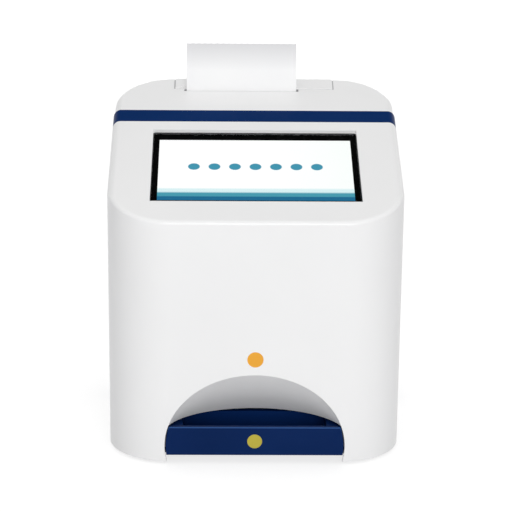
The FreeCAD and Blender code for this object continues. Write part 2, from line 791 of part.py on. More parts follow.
def base_plate():
    form = case_form("plate_form", "wall + rear_inset + plate_gap", "wall + plate_gap", "wall",
                     up("plate_lift"))
    plate = keep("plate_outline", form, box("plate_zone", WHOLE_X, WHOLE_Y, (up("plate_lift"), PLATE_TOP)))
    notch = box("plate_notch_zone", around("0", f"2 * {ARCH_HALF_WIDTH}"), (WHOLE_Y[0], back("plate_notch")),
                WHOLE_Z)
    added = []
    removed = [notch]
    for side, sign, end, (across, y) in CORNERS:
        x = f"{sign} * {across}"
        name = f"{end}_{side}"
        removed.append(rod("plate_screw_hole_" + name, "z", "case_screw_radius + head_gap", WHOLE_Z, x, y))
        removed.append(rod("plate_head_hole_" + name, "z", "case_head_radius + head_gap",
                           ("-overrun", up("plate_lift + case_head_recess")), x, y))
    for name, x, y in foot_places():
        removed.append(rod("foot_hole_" + name, "z", "foot_peg_radius + foot_peg_gap",
                           ("-overrun", up("plate_lift + foot_peg_length + foot_peg_gap")), x, y))
    for name, x, y in board_screw_places():
        added.append(rod("board_post_" + name, "z", "board_post_radius", (PLATE_TOP, up("board_height")),
                         x, y))
        removed.append(rod("board_post_bore_" + name, "z", "small_screw_radius + thread_gap",
                           (up("board_height - board_screw_length"), up("board_height + overrun")), x, y))
    for name, x, y, seat in base_screw_places():
        removed.append(rod("base_bore_" + name, "z", "small_screw_radius + thread_gap",
                           (up("plate_lift + overrun / 2"), f"{PLATE_TOP} + overrun"), x, y))
    node("base_plate", cut("base_plate", join("plate_solid", plate, *added), *removed))


def foot_places():
    return [(f"{end}_{side}", f"{sign} * (body_width / 2 - foot_in)",
             f"{end_sign} * (body_depth / 2 - foot_in)")
            for side, sign in SIDES for end, end_sign in (("front", -1), ("rear", 1))]


def feet():
    for name, x, y in foot_places():
        pad = rod(f"foot_pad_{name}", "z", "foot_radius", ("0", up("plate_lift")), x, y)
        peg = rod(f"foot_peg_{name}", "z", "foot_peg_radius",
                  (up("plate_lift - overrun / 2"), up("plate_lift + foot_peg_length")), x, y)
        node(f"foot_{name}", join(f"foot_{name}", pad, peg))


def screw(name, head_radius, head_height, shank_radius, shank_length, x, y, seat, head_sign):
    """A pan head screw that stands upright: its head lies below (-1) or above (1) its seat."""
    if head_sign > 0:
        head = (seat, f"{seat} + {head_height}")
        shank = (f"{seat} - ({shank_length})", seat)
    else:
        head = (f"{seat} - {head_height}", seat)
        shank = (seat, f"{seat} + ({shank_length})")
    return join(name, rod(name + "_head", "z", head_radius, head, x, y),
                rod(name + "_shank", "z", shank_radius, shank, x, y))


def case_screws():
    screws = []
    for side, sign, end, (across, y) in CORNERS:
        screws.append(screw(f"case_screw_{end}_{side}", "case_head_radius", "case_head_height",
                            "case_screw_radius", "case_screw_length", f"{sign} * {across}", y,
                            up("plate_lift + case_head_recess"), -1))
    node("case_screws", group("case_screws", screws))


def small_screw(name, x, y, seat, head_sign, length):
    return screw(name, "small_head_radius", "small_head_height", "small_screw_radius", length, x, y, seat,
                 head_sign)


def machine_screws():
    """All the small pan head screws: display, rails, optics bridge, main board and printer."""
    screws = []
    for x, s, name in display_boss_places():
        seat = "frame_depth + display_board_thickness"
        head = slope_rod(f"display_head_{name}", "small_head_radius", x, s,
                         (f"-({seat}) - small_head_height", f"-({seat})"))
        shank = slope_rod(f"display_shank_{name}", "small_screw_radius", x, s,
                          (f"-({seat})", f"-({seat}) + display_screw_length"))
        screws.append(join(f"display_screw_{name}", head, shank))
    for name, x, y, seat in base_screw_places():
        length = f"({seat}) - ({PLATE_TOP}) + plate_thickness / 2"
        screws.append(small_screw(f"base_screw_{name}", x, y, seat, 1, length))
    for name, x, y in board_screw_places():
        screws.append(small_screw(f"board_screw_{name}", x, y, BOARD_TOP, 1, "board_screw_length"))
    for side, x, y, name in POSTS:
        screws.append(small_screw(f"post_screw_{side}_{name}", x, y, SHELF_Z[0], -1, "board_screw_length"))
    node("machine_screws", group("machine_screws", screws))


# Display
def display():
    start = "screen_middle - lcd_length / 2"
    end = "screen_middle + lcd_length / 2"
    node("touch_glass", slope_box("touch_glass", around("0", f"{WINDOW_WIDTH} - 2 * glass_gap"),
                                  ("window_start + glass_gap", "window_start + window_length - glass_gap"),
                                  ("-glass_depth - glass_thickness", "-glass_depth")))
    lcd_n = ("-glass_depth - glass_thickness - lcd_thickness", "-glass_depth - glass_thickness")
    node("lcd_panel", slope_box("lcd_panel", around("0", LCD_WIDTH), (start, end), lcd_n))
    side = f"{LCD_WIDTH} + 2 * frame_side"
    outer = slope_box("display_frame_outer", around("0", side),
                      (f"{start} - frame_end", f"{end} + frame_end"),
                      ("-frame_depth", "-wall"))
    glass_hole = slope_box("display_frame_mouth", around("0", WINDOW_WIDTH),
                           ("window_start", "window_start + window_length"),
                           ("-frame_depth - overrun", "overrun"))
    pocket = slope_box("display_frame_pocket", around("0", f"{LCD_WIDTH} + 2 * lcd_gap"),
                       (f"{start} - lcd_gap", f"{end} + lcd_gap"),
                       ("-frame_depth - overrun", "-glass_depth - glass_thickness"))
    holes = []
    for x, s, name in display_boss_places():
        holes.append(slope_rod("frame_boss_hole_" + name, "display_boss_radius + display_boss_gap", x, s,
                               ("-wall - display_boss_length - display_boss_gap", "overrun")))
        holes.append(slope_rod("frame_screw_hole_" + name, "small_screw_radius + thread_gap", x, s,
                               ("-frame_depth - overrun", "0")))
    node("display_frame", cut("display_frame", outer, glass_hole, pocket, *holes))
    board = slope_box("display_board_sheet", around("0", f"{side} - 2 * display_board_margin"),
                      (f"{start} - frame_end + display_board_margin",
                       f"{end} + frame_end - display_board_margin"),
                      ("-frame_depth - display_board_thickness", "-frame_depth"))
    board_holes = [slope_rod("display_board_hole_" + name, "small_screw_radius + thread_gap", x, s,
                             ("-frame_depth - display_board_thickness - overrun", "0"))
                   for x, s, name in display_boss_places()]
    backlight = slope_box("display_board_pads", around("0", f"{LCD_WIDTH} / 2"),
                          (f"screen_middle - lcd_length / 4", f"screen_middle + lcd_length / 4"),
                          ("-frame_depth", lcd_n[0]))
    node("display_board", cut("display_board", join("display_board_solid", board, backlight), *board_holes))


# Drawer and its rails
DRAWER_X = around("0", DRAWER_WIDTH)
TRAY_Z = (f"{PLATE_TOP} + tray_lift", up("tray_top"))
RAIL_NEAR = f"{DRAWER_WIDTH} / 2 + rail_gap"
RAIL_FAR = f"({RAIL_NEAR} + rail_width)"


def drawer():
    outline = ellipse_bar("drawer_outline", "-drawer_gap", "0", "0deg", "drawer_panel")
    panel = keep("drawer_panel_form", outline, box("drawer_panel_zone", WHOLE_X, WHOLE_Y,
                                                   (up("drawer_bottom"), up("drawer_top"))))
    tray = box("tray_block", DRAWER_X, (back("drawer_panel / 2"), DRAWER_REAR), TRAY_Z)
    flange = box("tray_flange", around("0", f"{DRAWER_WIDTH} + 2 * flange_side"),
                 (back("flange_start"), DRAWER_REAR),
                 (up("flange_bottom"), up("flange_bottom + flange_thickness")))
    floor = f"{TRAY_Z[0]} + tray_floor"
    above = f"{TRAY_Z[1]} + overrun"
    pocket = box("finger_pocket", around("0", POCKET_WIDTH), (back("drawer_panel"), back("pocket_end")),
                 (floor, above))
    seat = box("holder_seat", around("0", f"{HOLDER_WIDTH} + 2 * holder_gap"),
               (back("holder_start - holder_gap"), back("holder_start + holder_length + holder_gap")),
               (up("holder_bottom"), above))
    rear = box("rear_pocket", around("0", POCKET_WIDTH),
               (back("rear_pocket_start"), back("rear_pocket_start + rear_pocket_length")), (floor, above))
    magnet_z = around(up("(tray_top + drawer_bottom) / 2"), "magnet_height")
    magnet_hole = box("magnet_hole", around("0", "magnet_width + 2 * snug_gap"),
                      (f"{DRAWER_REAR} - magnet_depth", f"{DRAWER_REAR} + overrun"),
                      (f"{magnet_z[0]} - snug_gap", f"{magnet_z[1]} + snug_gap"))
    node("drawer_tray", cut("drawer_tray", join("tray_solid", panel, tray, flange), pocket, seat, rear,
                            magnet_hole))
    holder_y = (back("holder_start"), back("holder_start + holder_length"))
    holder = box("holder_block", around("0", HOLDER_WIDTH), holder_y, (up("holder_bottom"), up("tray_top")))
    middle = back("holder_start + holder_length / 2")
    bed = box("cassette_bed", around("0", CASSETTE_WIDTH), around(middle, "cassette_length"),
              (up("holder_bottom + holder_floor"), above))
    thumb = rod("thumb_relief", "z", "cassette_length / 2", (up("holder_bottom + holder_floor"), above),
                f"{CASSETTE_WIDTH} / 4", middle)
    node("cassette_holder", cut("cassette_holder", holder, bed, thumb))
    node("drawer_magnet", box("drawer_magnet", around("0", "magnet_width"),
                              (f"{DRAWER_REAR} - magnet_depth", DRAWER_REAR), magnet_z))
    catch_y = (f"{DRAWER_REAR} + catch_gap", f"{DRAWER_REAR} + catch_gap + catch_thickness")
    upright = box("catch_upright", around("0", "catch_width"), catch_y, (PLATE_TOP, up("catch_height")))
    foot = box("catch_foot_plate", around("0", "catch_width"), (catch_y[0], f"{catch_y[1]} + catch_foot"),
               (PLATE_TOP, f"{PLATE_TOP} + catch_thickness"))
    node("catch_plate", join("catch_plate", upright, foot))


def drawer_rails():
    y = (back("rail_start"), f"{DRAWER_REAR} + rail_gap")
    for side, sign in SIDES:
        block = box(f"rail_block_{side}", side_span(sign, RAIL_NEAR, RAIL_FAR), y,
                    (PLATE_TOP, up("rail_height")))
        groove = box(f"rail_groove_{side}", side_span(sign, f"{RAIL_NEAR} - overrun",
                                                      f"{DRAWER_WIDTH} / 2 + flange_side + rail_play"),
                                                      longer(y),
                     (up("flange_bottom - rail_play"), up("flange_bottom + flange_thickness + rail_play")))
        holes = []
        for name, x, place, seat in base_screw_places():
            if name.startswith("rail_" + side):
                holes.append(rod(f"rail_hole_{name}", "z", "small_screw_radius + thread_gap", WHOLE_Z, x,
                                 place))
                holes.append(rod(f"rail_sink_{name}", "z", "small_head_radius + head_gap",
                                 (seat, up("rail_height + overrun")), x, place))
        node(f"drawer_rail_{side}", cut(f"drawer_rail_{side}", block, groove, *holes))


def base_screw_places():
    """The small screws that go down into the base plate: name, across, front to back and seat."""
    places = []
    for side, sign in SIDES:
        for end, y in (("front", back("rail_start + rail_screw_in")),
                       ("rear", f"({DRAWER_REAR} - rail_screw_in)")):
            places.append((f"rail_{side}_{end}", f"{sign} * ({RAIL_FAR} - small_head_radius - head_gap)", y,
                           up("rail_height - rail_screw_seat")))
        for end, y in (("front", back("bridge_start + rail_screw_side + small_head_radius")),
                       ("rear", back("bridge_start + bridge_length - rail_screw_side - small_head_radius"))):
            places.append((f"bridge_{side}_{end}",
                           f"{sign} * ({BRIDGE_FAR} - small_head_radius - head_gap)", y,
                           f"({PLATE_TOP} + bridge_thickness)"))
    return places


# Optics over the closed drawer
BRIDGE_NEAR = f"({RAIL_FAR} + bridge_leg_gap)"
BRIDGE_FAR = f"({BRIDGE_NEAR} + bridge_thickness + bridge_foot)"
OPTICS_Y = (back("bridge_start"), back("bridge_start + bridge_length"))
OPTICS_MIDDLE = back("bridge_start + bridge_length / 2")
BOX_TOP = up("bridge_top + box_height")


def optics():
    deck = box("bridge_deck", around("0", f"2 * {BRIDGE_NEAR} + 2 * bridge_thickness"), OPTICS_Y,
               (up("bridge_top - bridge_thickness"), up("bridge_top")))
    pieces = [deck]
    holes = [box("bridge_window", around("0", f"{DRAWER_WIDTH} - 2 * bridge_window_edge"),
                 (f"{OPTICS_Y[0]} + bridge_window_side", f"{OPTICS_Y[1]} - bridge_window_side"), WHOLE_Z)]
    for side, sign in SIDES:
        pieces.append(box(f"bridge_leg_{side}",
                          side_span(sign, BRIDGE_NEAR, f"{BRIDGE_NEAR} + bridge_thickness"),
                          OPTICS_Y, (PLATE_TOP, up("bridge_top"))))
        pieces.append(box(f"bridge_foot_{side}", side_span(sign, BRIDGE_NEAR, BRIDGE_FAR), OPTICS_Y,
                          (PLATE_TOP, f"{PLATE_TOP} + bridge_thickness")))
    for name, x, y, seat in base_screw_places():
        if name.startswith("bridge"):
            holes.append(rod(f"hole_{name}", "z", "small_screw_radius + thread_gap", WHOLE_Z, x, y))
    node("optics_bridge", cut("optics_bridge", join("bridge_solid", *pieces), *holes))

    shell = box("optics_box_block", around("0", BOX_WIDTH), OPTICS_Y, (up("bridge_top"), BOX_TOP))
    hollow = box("optics_box_hollow", around("0", f"{BOX_WIDTH} - 2 * box_wall"),
                 (f"{OPTICS_Y[0]} + box_wall", f"{OPTICS_Y[1]} - box_wall"),
                 (up("bridge_top - overrun"), f"{BOX_TOP} - box_wall"))
    lens_hole = rod("optics_box_hole", "z", "barrel_radius + lens_hole_gap", WHOLE_Z, "0", OPTICS_MIDDLE)
    node("optics_box", cut("optics_box", shell, hollow, lens_hole))
    node("camera_board", box("camera_board", around("0", "camera_board_width"),
                             around(OPTICS_MIDDLE, "camera_board_length"),
                             (BOX_TOP, f"{BOX_TOP} + board_thickness")))
    barrel = rod("barrel_body", "z", "barrel_radius", (f"{BOX_TOP} - barrel_length", BOX_TOP), "0",
                 OPTICS_MIDDLE)
    bore = rod("barrel_bore", "z", "lens_radius + lens_gap",
               (f"{BOX_TOP} - barrel_length + lens_lip", f"{BOX_TOP} + overrun"), "0", OPTICS_MIDDLE)
    mouth = rod("barrel_mouth", "z", "lens_radius - lens_lip",
                (f"{BOX_TOP} - barrel_length - overrun", BOX_TOP),
                "0", OPTICS_MIDDLE)
    node("lens_barrel", cut("lens_barrel", barrel, bore, mouth))
    node("objective_lens", rod("objective_lens", "z", "lens_radius",
                               (f"{BOX_TOP} - barrel_length + lens_lip",
                                f"{BOX_TOP} - barrel_length + lens_lip + lens_thickness"), "0",
                                OPTICS_MIDDLE))
    wall_face = f"{BOX_WIDTH} / 2 - box_wall"
    lamp_low = up("bridge_top + lamp_board_lift")
    lamps = []
    for side, sign in SIDES:
        node(f"lamp_board_{side}", box(f"lamp_board_{side}", side_span(sign, f"{wall_face} - board_thickness",
                                                                       wall_face),
                                       around(OPTICS_MIDDLE, "lamp_board_length"),
                                       (lamp_low, f"{lamp_low} + lamp_board_height")))
        for end in (-1, 1):
            lamps.append(box(f"lamp_{side}_{end + 1}",
                             side_span(sign, f"{wall_face} - board_thickness - lamp_height",
                                       f"{wall_face} - board_thickness"),
                             around(f"{OPTICS_MIDDLE} + {end} * lamp_spacing / 2", "lamp_side"),
                             around(f"{lamp_low} + lamp_board_height / 2", "lamp_side")))
    node("lamps", group("lamps", lamps))


# Printer
CABLE_X = (f"({CHEEK_X[0]} - frame_plate - ribbon_thickness)", f"({CHEEK_X[0]} - frame_plate)")
FRAME_FRONT = f"({SLOT_Y} - frame_plate_front)"
CABLE_Y = (f"({FRAME_FRONT} + cable_start)", f"({FRAME_FRONT} + cable_start + cable_width)")
EAR_X = {
    -1: (f"({PAPER_X[0]} - platen_side - ear_gap - ear_thickness)",
         f"({PAPER_X[0]} - platen_side - ear_gap)"),
    1: (f"({PAPER_X[1]} + platen_side + ear_gap)", f"({PAPER_X[1]} + platen_side + ear_gap + ear_thickness)"),
}
PLATE_X = {
    -1: (f"({CHEEK_X[0]} - frame_plate)", CHEEK_X[0]),
    1: (CHEEK_X[1], f"({CHEEK_X[1]} + frame_plate)"),
}
GEAR_X = (f"({PLATE_X[1][1]} + gear_side_gap)", f"({PLATE_X[1][1]} + gear_side_gap + gear_width)")
BRACKET_X = (f"({GEAR_X[1]} + gear_side_gap)", f"({GEAR_X[1]} + gear_side_gap + bracket_thickness)")
IDLER_Y = f"({PLATEN_Y} - gear_module * (platen_teeth + idler_teeth) / 2 - gear_mesh_gap)"
IDLER_Z = PLATEN_Z
MOTOR_REACH = "(gear_module * (idler_teeth + pinion_teeth) / 2 + gear_mesh_gap)"
MOTOR_Y = f"({IDLER_Y} - {MOTOR_REACH} * cos(motor_drop_angle * 1deg))"
MOTOR_Z = f"({IDLER_Z} - {MOTOR_REACH} * sin(motor_drop_angle * 1deg))"


def printer_lid():
    zone = box("lid_zone", LID_X, (slope_y("lid_start"), WHOLE_Y[1]), (HINGE_Z, WHOLE_Z[1]))
    plate = cut("lid_plate", keep("lid_outside", lid_form, zone), lid_hollow)
    lug_rooms = [box(f"lug_room_{side}", side_span(sign, "hinge_length / 2", "lid_width / 2 + overrun"),
                     WHOLE_Y,
                     (f"{HINGE_Z} - overrun", f"{HINGE_Z} + hinge_radius + hinge_clear")) for side,
                     sign in SIDES]
    barrel = rod("lid_barrel", "x", "hinge_radius", around("0", "hinge_length"), HINGE_Y, HINGE_Z)
    bore = rod("lid_barrel_bore", "x", "hinge_pin_radius + shaft_gap", WHOLE_X, HINGE_Y, HINGE_Z)
    ears = []
    for side, sign in SIDES:
        x = EAR_X[sign]
        ears.append(rod(f"ear_round_{side}", "x", "ear_radius", x, PLATEN_Y, PLATEN_Z))
        ears.append(box(f"ear_web_{side}", x, (PLATEN_Y, forward("lid_wall / 2")),
                        around(PLATEN_Z, "2 * ear_radius")))
    ears = keep("lid_ears", join("lid_ear_solid", *ears), lid_form)
    bush_hole = rod("lid_bush_hole", "x", "bush_radius + snug_gap", WHOLE_X, PLATEN_Y, PLATEN_Z)
    shell = cut("lid_shell", plate, *lug_rooms)
    notch_x = (f"{LID_X[0]} + nail_notch_in", f"{LID_X[0]} + nail_notch_in + nail_notch_width")
    nail = slope_box("nail_notch", notch_x, ("lid_start - overrun", "lid_start + nail_notch_length"),
                     ("-lid_wall / 2", "lid_proud + overrun"))
    node("printer_lid", cut("printer_lid", join("lid_solid", shell, barrel, ears), bore, bush_hole, nail))
    pin_x = around("0", "hinge_length + 2 * hinge_side_gap + 2 * hinge_lug_width")
    node("lid_hinge_pin", rod("lid_hinge_pin", "x", "hinge_pin_radius", pin_x, HINGE_Y, HINGE_Z))


def platen():
    rubber_x = (f"{PAPER_X[0]} - platen_side", f"{PAPER_X[1]} + platen_side")
    node("platen_roller", ring("platen_roller", "x", "platen_radius", "platen_shaft_radius + snug_gap",
                               rubber_x, PLATEN_Y, PLATEN_Z))
    node("platen_shaft", rod("platen_shaft", "x", "platen_shaft_radius",
                             (PLATE_X[-1][0], GEAR_X[1]), PLATEN_Y, PLATEN_Z))
    for side, sign in SIDES:
        inner = EAR_X[sign][1] if sign < 0 else EAR_X[sign][0]
        outer = PLATE_X[sign][0] if sign < 0 else PLATE_X[sign][1]
        x = (outer, inner) if sign < 0 else (inner, outer)
        node(f"platen_bush_{side}", ring(f"platen_bush_{side}", "x", "bush_radius",
                                         "platen_shaft_radius + shaft_gap", x, PLATEN_Y, PLATEN_Z))


def printer_frame():
    top = f"{PLATEN_Z} + frame_plate_above"
    y = (FRAME_FRONT, f"{PLATEN_Y} + bush_radius")
    plates = []
    cuts = []
    for side, sign in SIDES:
        plates.append(box(f"frame_side_{side}", PLATE_X[sign], y, (f"{PLATEN_Z} - frame_plate_below", top)))
    web_y = (f"{SLOT_Y} - paper_thickness / 2 - paper_clear - head_thickness - frame_plate",
             f"{SLOT_Y} - paper_thickness / 2 - paper_clear - head_thickness")
    plates.append(box("frame_web", (PLATE_X[-1][0], PLATE_X[1][1]), web_y,
                      (f"{PLATEN_Z} - head_height / 2", top)))
    cuts.append(rod("bush_slot_round", "x", "bush_radius + bush_slot_gap", WHOLE_X, PLATEN_Y, PLATEN_Z))
    cuts.append(box("bush_slot", WHOLE_X, (PLATEN_Y, f"{y[1]} + overrun"),
                    around(PLATEN_Z, "2 * (bush_radius + bush_slot_gap)")))
    cuts.append(rod("idler_pin_hole", "x", "idler_pin_radius + snug_gap", WHOLE_X, IDLER_Y, IDLER_Z))
    node("printer_frame", cut("printer_frame", join("frame_solid", *plates), *cuts))
    node("print_head", box("print_head", PAPER_X, (web_y[1], f"{web_y[1]} + head_thickness"),
                           around(PLATEN_Z, "head_height")))
    node("tear_bar", box("tear_bar", PAPER_X, (web_y[1], f"{web_y[1]} + tear_bar_thickness"),
                         (f"{PLATEN_Z} + head_height / 2",
                          f"{PLATEN_Z} + head_height / 2 + tear_bar_height")))


def paper_bucket():
    front = f"{ROLL_Y} - roll_radius - bucket_front_gap - bucket_wall"
    low = f"{ROLL_Z} - roll_radius - bucket_below - bucket_wall"
    block = box("bucket_block", CHEEK_X, (front, f"{ROLL_Y} + bucket_rear_reach"),
                (low, f"{ROLL_Z} + bucket_top_reach"))
    inside = box("bucket_inside", BUCKET_X,
                 (f"{front} + bucket_wall", f"{ROLL_Y} + bucket_rear_reach + overrun"),
                 (f"{low} + bucket_wall", f"{ROLL_Z} + bucket_top_reach + overrun"))
    spindle_hole = rod("spindle_hole", "x", "spindle_radius + snug_gap", WHOLE_X, ROLL_Y, ROLL_Z)
    shelves = []
    holes = []
    for side, sign, reach in (("left", -1, "ear_shelf_left"), ("right", 1, "ear_shelf_right")):
        far = f"{CHEEK_X[0]} - {reach} - post_radius" if sign < 0 else f"{CHEEK_X[1]} + {reach} + post_radius"
        x = (far, CHEEK_X[0]) if sign < 0 else (CHEEK_X[1], far)
        y = (f"{POST_Y} - post_radius", f"{POST_Y} + post_spacing + post_radius")
        shelves.append(box(f"bucket_shelf_{side}", x, y, SHELF_Z))
    for side, x, y, name in POSTS:
        holes.append(rod(f"shelf_hole_{side}_{name}", "z", "small_screw_radius + thread_gap",
                         longer(SHELF_Z), x, y))
    cable_slot = box("cable_slot", (f"{CABLE_X[0]} - cable_gap", f"{CABLE_X[1]} + cable_gap"),
                     (f"{CABLE_Y[0]} - cable_gap", f"{CABLE_Y[1]} + cable_gap"), longer(SHELF_Z))
    hollow = cut("bucket_hollow", block, inside)
    node("paper_bucket", cut("paper_bucket", join("bucket_solid", hollow, *shelves), spindle_hole,
                             cable_slot, *holes))
    node("roll_spindle", rod("roll_spindle", "x", "spindle_radius", CHEEK_X, ROLL_Y, ROLL_Z))


def paper_roll():
    node("paper_roll", ring("paper_roll", "x", "roll_radius", "roll_core_radius + snug_gap", PAPER_X,
                            ROLL_Y, ROLL_Z))
    node("roll_core", ring("roll_core", "x", "roll_core_radius",
                           "roll_core_radius - roll_core_wall + snug_gap",
                           PAPER_X, ROLL_Y, ROLL_Z))


def sheet_solid(label, points, bends, thickness, across):
    """A thin sheet along a route of straight runs and round bends, as wide as across."""
    wire = rounded_route(points, bends)
    face = wire.makeOffset2D(thickness, fill=True, openResult=True, join=0)
    solid = face.extrude(AXES["x"] * (across[1] - across[0]))
    shape = doc.addObject("Part::Feature", label)
    shape.Shape = solid
    shape.Placement = FreeCAD.Placement(AXES["x"] * across[0], FreeCAD.Rotation())
    return node(label, shape)


def rounded_route(points, bends):
    """Straight runs joined by tangent arcs, in the plane across the case."""
    places = [FreeCAD.Vector(0, y, z) for y, z in points]
    edges = []
    start = places[0]
    for before, corner, after, radius in zip(places, places[1:], places[2:], bends):
        into = (corner - before).normalize()
        out = (after - corner).normalize()
        turn = into.getAngle(out)
        cut_back = radius * math.tan(turn / 2)
        arc_start = corner - into * cut_back
        arc_end = corner + out * cut_back
        bisector = (out - into).normalize()
        middle = corner + bisector * (radius / math.cos(turn / 2) - radius)
        edges.append(Part.LineSegment(start, arc_start).toShape())
        edges.append(Part.Arc(arc_start, middle, arc_end).toShape())
        start = arc_end
    edges.append(Part.LineSegment(start, places[-1]).toShape())
    return Part.Wire(edges)


def paper_strip():
    """The paper: a tangent run off the roll, up through the slot, then curling back."""
    slot = FreeCAD.Vector(0, value(SLOT_Y) - value("paper_thickness") / 2, value(SLOT_Z))
    roll = FreeCAD.Vector(0, value(ROLL_Y), value(ROLL_Z))
    radius = value("roll_radius + paper_clear + paper_thickness")
    knee = FreeCAD.Vector(0, slot.y, value(f"{PLATEN_Z} - platen_radius"))
    reach = knee - roll
    spread = math.acos(radius / reach.Length)
    direction = math.atan2(reach.z, reach.y) - spread
    tangent = roll + FreeCAD.Vector(0, math.cos(direction), math.sin(direction)) * radius
    curl_start = slot + AXES["z"] * value("paper_straight")
    curl = value("paper_curl_radius")
    angle = math.radians(value("paper_curl_angle"))
    centre = curl_start + AXES["y"] * curl
    edges = [Part.LineSegment(tangent, knee).toShape(), Part.LineSegment(knee, curl_start).toShape()]
    places = [centre + FreeCAD.Vector(0, -math.cos(turn), math.sin(turn)) * curl for turn in (angle / 2,
                                                                                              angle)]
    edges.append(Part.Arc(curl_start, places[0], places[1]).toShape())
    wire = Part.Wire(edges)
    face = wire.makeOffset2D(value("paper_thickness"), fill=True, openResult=True, join=2)
    across = value(PAPER_X[0])
    shape = doc.addObject("Part::Feature", "paper_strip")
    shape.Shape = face.extrude(AXES["x"] * value("paper_width"))
    shape.Placement = FreeCAD.Placement(AXES["x"] * across, FreeCAD.Rotation())
    node("paper_strip", shape)


def gear(label, teeth, bore, y, z, phase):
    """A spur gear about the X axis, with a tooth or a gap at the given turn."""
    body = doc.addObject("PartDesign::Body", label)
    root = f"(gear_module * {teeth} / 2 - gear_module * root_depth_share)"
    tip = f"(gear_module * {teeth} / 2 + gear_module * tooth_reach_share)"
    foot = "(gear_module * pi * tooth_foot_share)"
    point = "(gear_module * pi * tooth_tip_share)"
    disc = body.newObject("PartDesign::AdditiveCylinder", label + "_disc")
    bind(disc, "Radius", root)
    bind(disc, "Height", "gear_width")
    inside = f"({root} - gear_module / 2)"
    outline = outline_sketch(body, "XY_Plane", [(f"-{foot}", inside), (f"-{foot}", root), (f"-{point}", tip),
                                                (point, tip), (foot, root), (foot, inside)])
    tooth = body.newObject("PartDesign::Pad", label + "_tooth")
    tooth.Profile = outline
    bind(tooth, "Length", "gear_width")
    doc.recompute()
    pattern = body.newObject("PartDesign::PolarPattern", label + "_teeth")
    pattern.Originals = [tooth]
    pattern.Axis = (outline, ["N_Axis"])
    pattern.Angle = 360
    bind(pattern, "Occurrences", teeth)
    body.Tip = pattern
    hole = body.newObject("PartDesign::SubtractiveCylinder", label + "_bore")
    bind(hole, "Radius", bore)
    bind(hole, "Height", "gear_width")
    body.Tip = hole
    turn = FreeCAD.Rotation(AXES["y"], 90)
    body.Placement = FreeCAD.Placement(FreeCAD.Vector(), FreeCAD.Rotation(AXES["x"], phase) * turn)
    bind(body, "Placement.Base.x", GEAR_X[0])
    bind(body, "Placement.Base.y", y)
    bind(body, "Placement.Base.z", z)
    doc.recompute()
    return body


def drive():
    # A tooth made at +Y of its sketch points to +Y after the turn; the phases set teeth against gaps.
    idler_pitch = 360 / SIZES["idler_teeth"]
    pinion_pitch = 360 / SIZES["pinion_teeth"]
    node("platen_gear", gear("platen_gear", "platen_teeth", "platen_shaft_radius + snug_gap",
                             PLATEN_Y, PLATEN_Z, HALF_TURN))
    node("idler_gear", gear("idler_gear", "idler_teeth", "idler_pin_radius + shaft_gap",
                            IDLER_Y, IDLER_Z, idler_pitch / 2))
    towards = HALF_TURN + SIZES["motor_drop_angle"]
    steps = (towards - idler_pitch / 2) / idler_pitch
    idler_offset = (steps - math.floor(steps)) * idler_pitch
    pinion_offset = idler_offset * SIZES["idler_teeth"] / SIZES["pinion_teeth"]
    pinion = gear("pinion_teeth_body", "pinion_teeth", "motor_shaft_radius", MOTOR_Y, MOTOR_Z,
                  towards - HALF_TURN + pinion_offset + pinion_pitch / 2)
    shaft = rod("pinion_shaft", "x", "motor_shaft_radius", (GEAR_X[0], f"{BRACKET_X[1]} + motor_length / 2"),
                MOTOR_Y, MOTOR_Z)
    node("motor_pinion", join("motor_pinion", pinion, shaft))
    node("idler_pin", rod("idler_pin", "x", "idler_pin_radius", (PLATE_X[1][0], BRACKET_X[1]), IDLER_Y,
                          IDLER_Z))
    plate = box("bracket_plate", BRACKET_X, around(MOTOR_Y, "2 * bracket_reach"),
                around(MOTOR_Z, "2 * bracket_reach"))
    legs = [rod("bracket_tab", "x", "bracket_tab_radius", BRACKET_X, IDLER_Y, IDLER_Z)]
    for name, y_sign, z_sign in (("low", "+", "-"), ("high", "-", "+")):
        y = f"{MOTOR_Y} {y_sign} (bracket_reach - bracket_post_radius)"
        z = f"{MOTOR_Z} {z_sign} (bracket_reach - bracket_post_radius)"
        legs.append(rod(f"bracket_leg_{name}", "x", "bracket_post_radius", (PLATE_X[1][1], BRACKET_X[1]),
                        y, z))
    legs_room = rod("motor_shaft_hole", "x", "motor_shaft_radius + shaft_gap", WHOLE_X, MOTOR_Y, MOTOR_Z)
    pin_hole = rod("bracket_pin_hole", "x", "idler_pin_radius + snug_gap", WHOLE_X, IDLER_Y, IDLER_Z)
    node("gear_bracket", cut("gear_bracket", join("bracket_solid", plate, *legs), legs_room, pin_hole))
    node("printer_motor", ring("printer_motor", "x", "motor_radius", "motor_shaft_radius + shaft_gap",
                               (BRACKET_X[1], f"{BRACKET_X[1]} + motor_length"), MOTOR_Y, MOTOR_Z))


# Rear electronics
BOARD_Y = (forward("board_front"), forward("board_rear"))


def board_screw_places():
    places = []
    for side, sign in SIDES:
        for end, y in (("front", forward("board_front - board_post_front")),
                       ("rear", forward("board_rear + board_post_rear"))):
            places.append((f"{side}_{end}", f"{sign} * (board_width / 2 - board_post_side)", y))
    return places


def port(name, middle, width, height, depth, mouth):
    """A socket on the main board's rear edge, with its mouth cut out."""
    shell = box(name + "_shell", around(middle, width),
                (forward(f"port_recess + {depth}"), forward("port_recess")),
                (BOARD_TOP, f"{BOARD_TOP} + {height}"))
    return cut(name, shell, mouth)


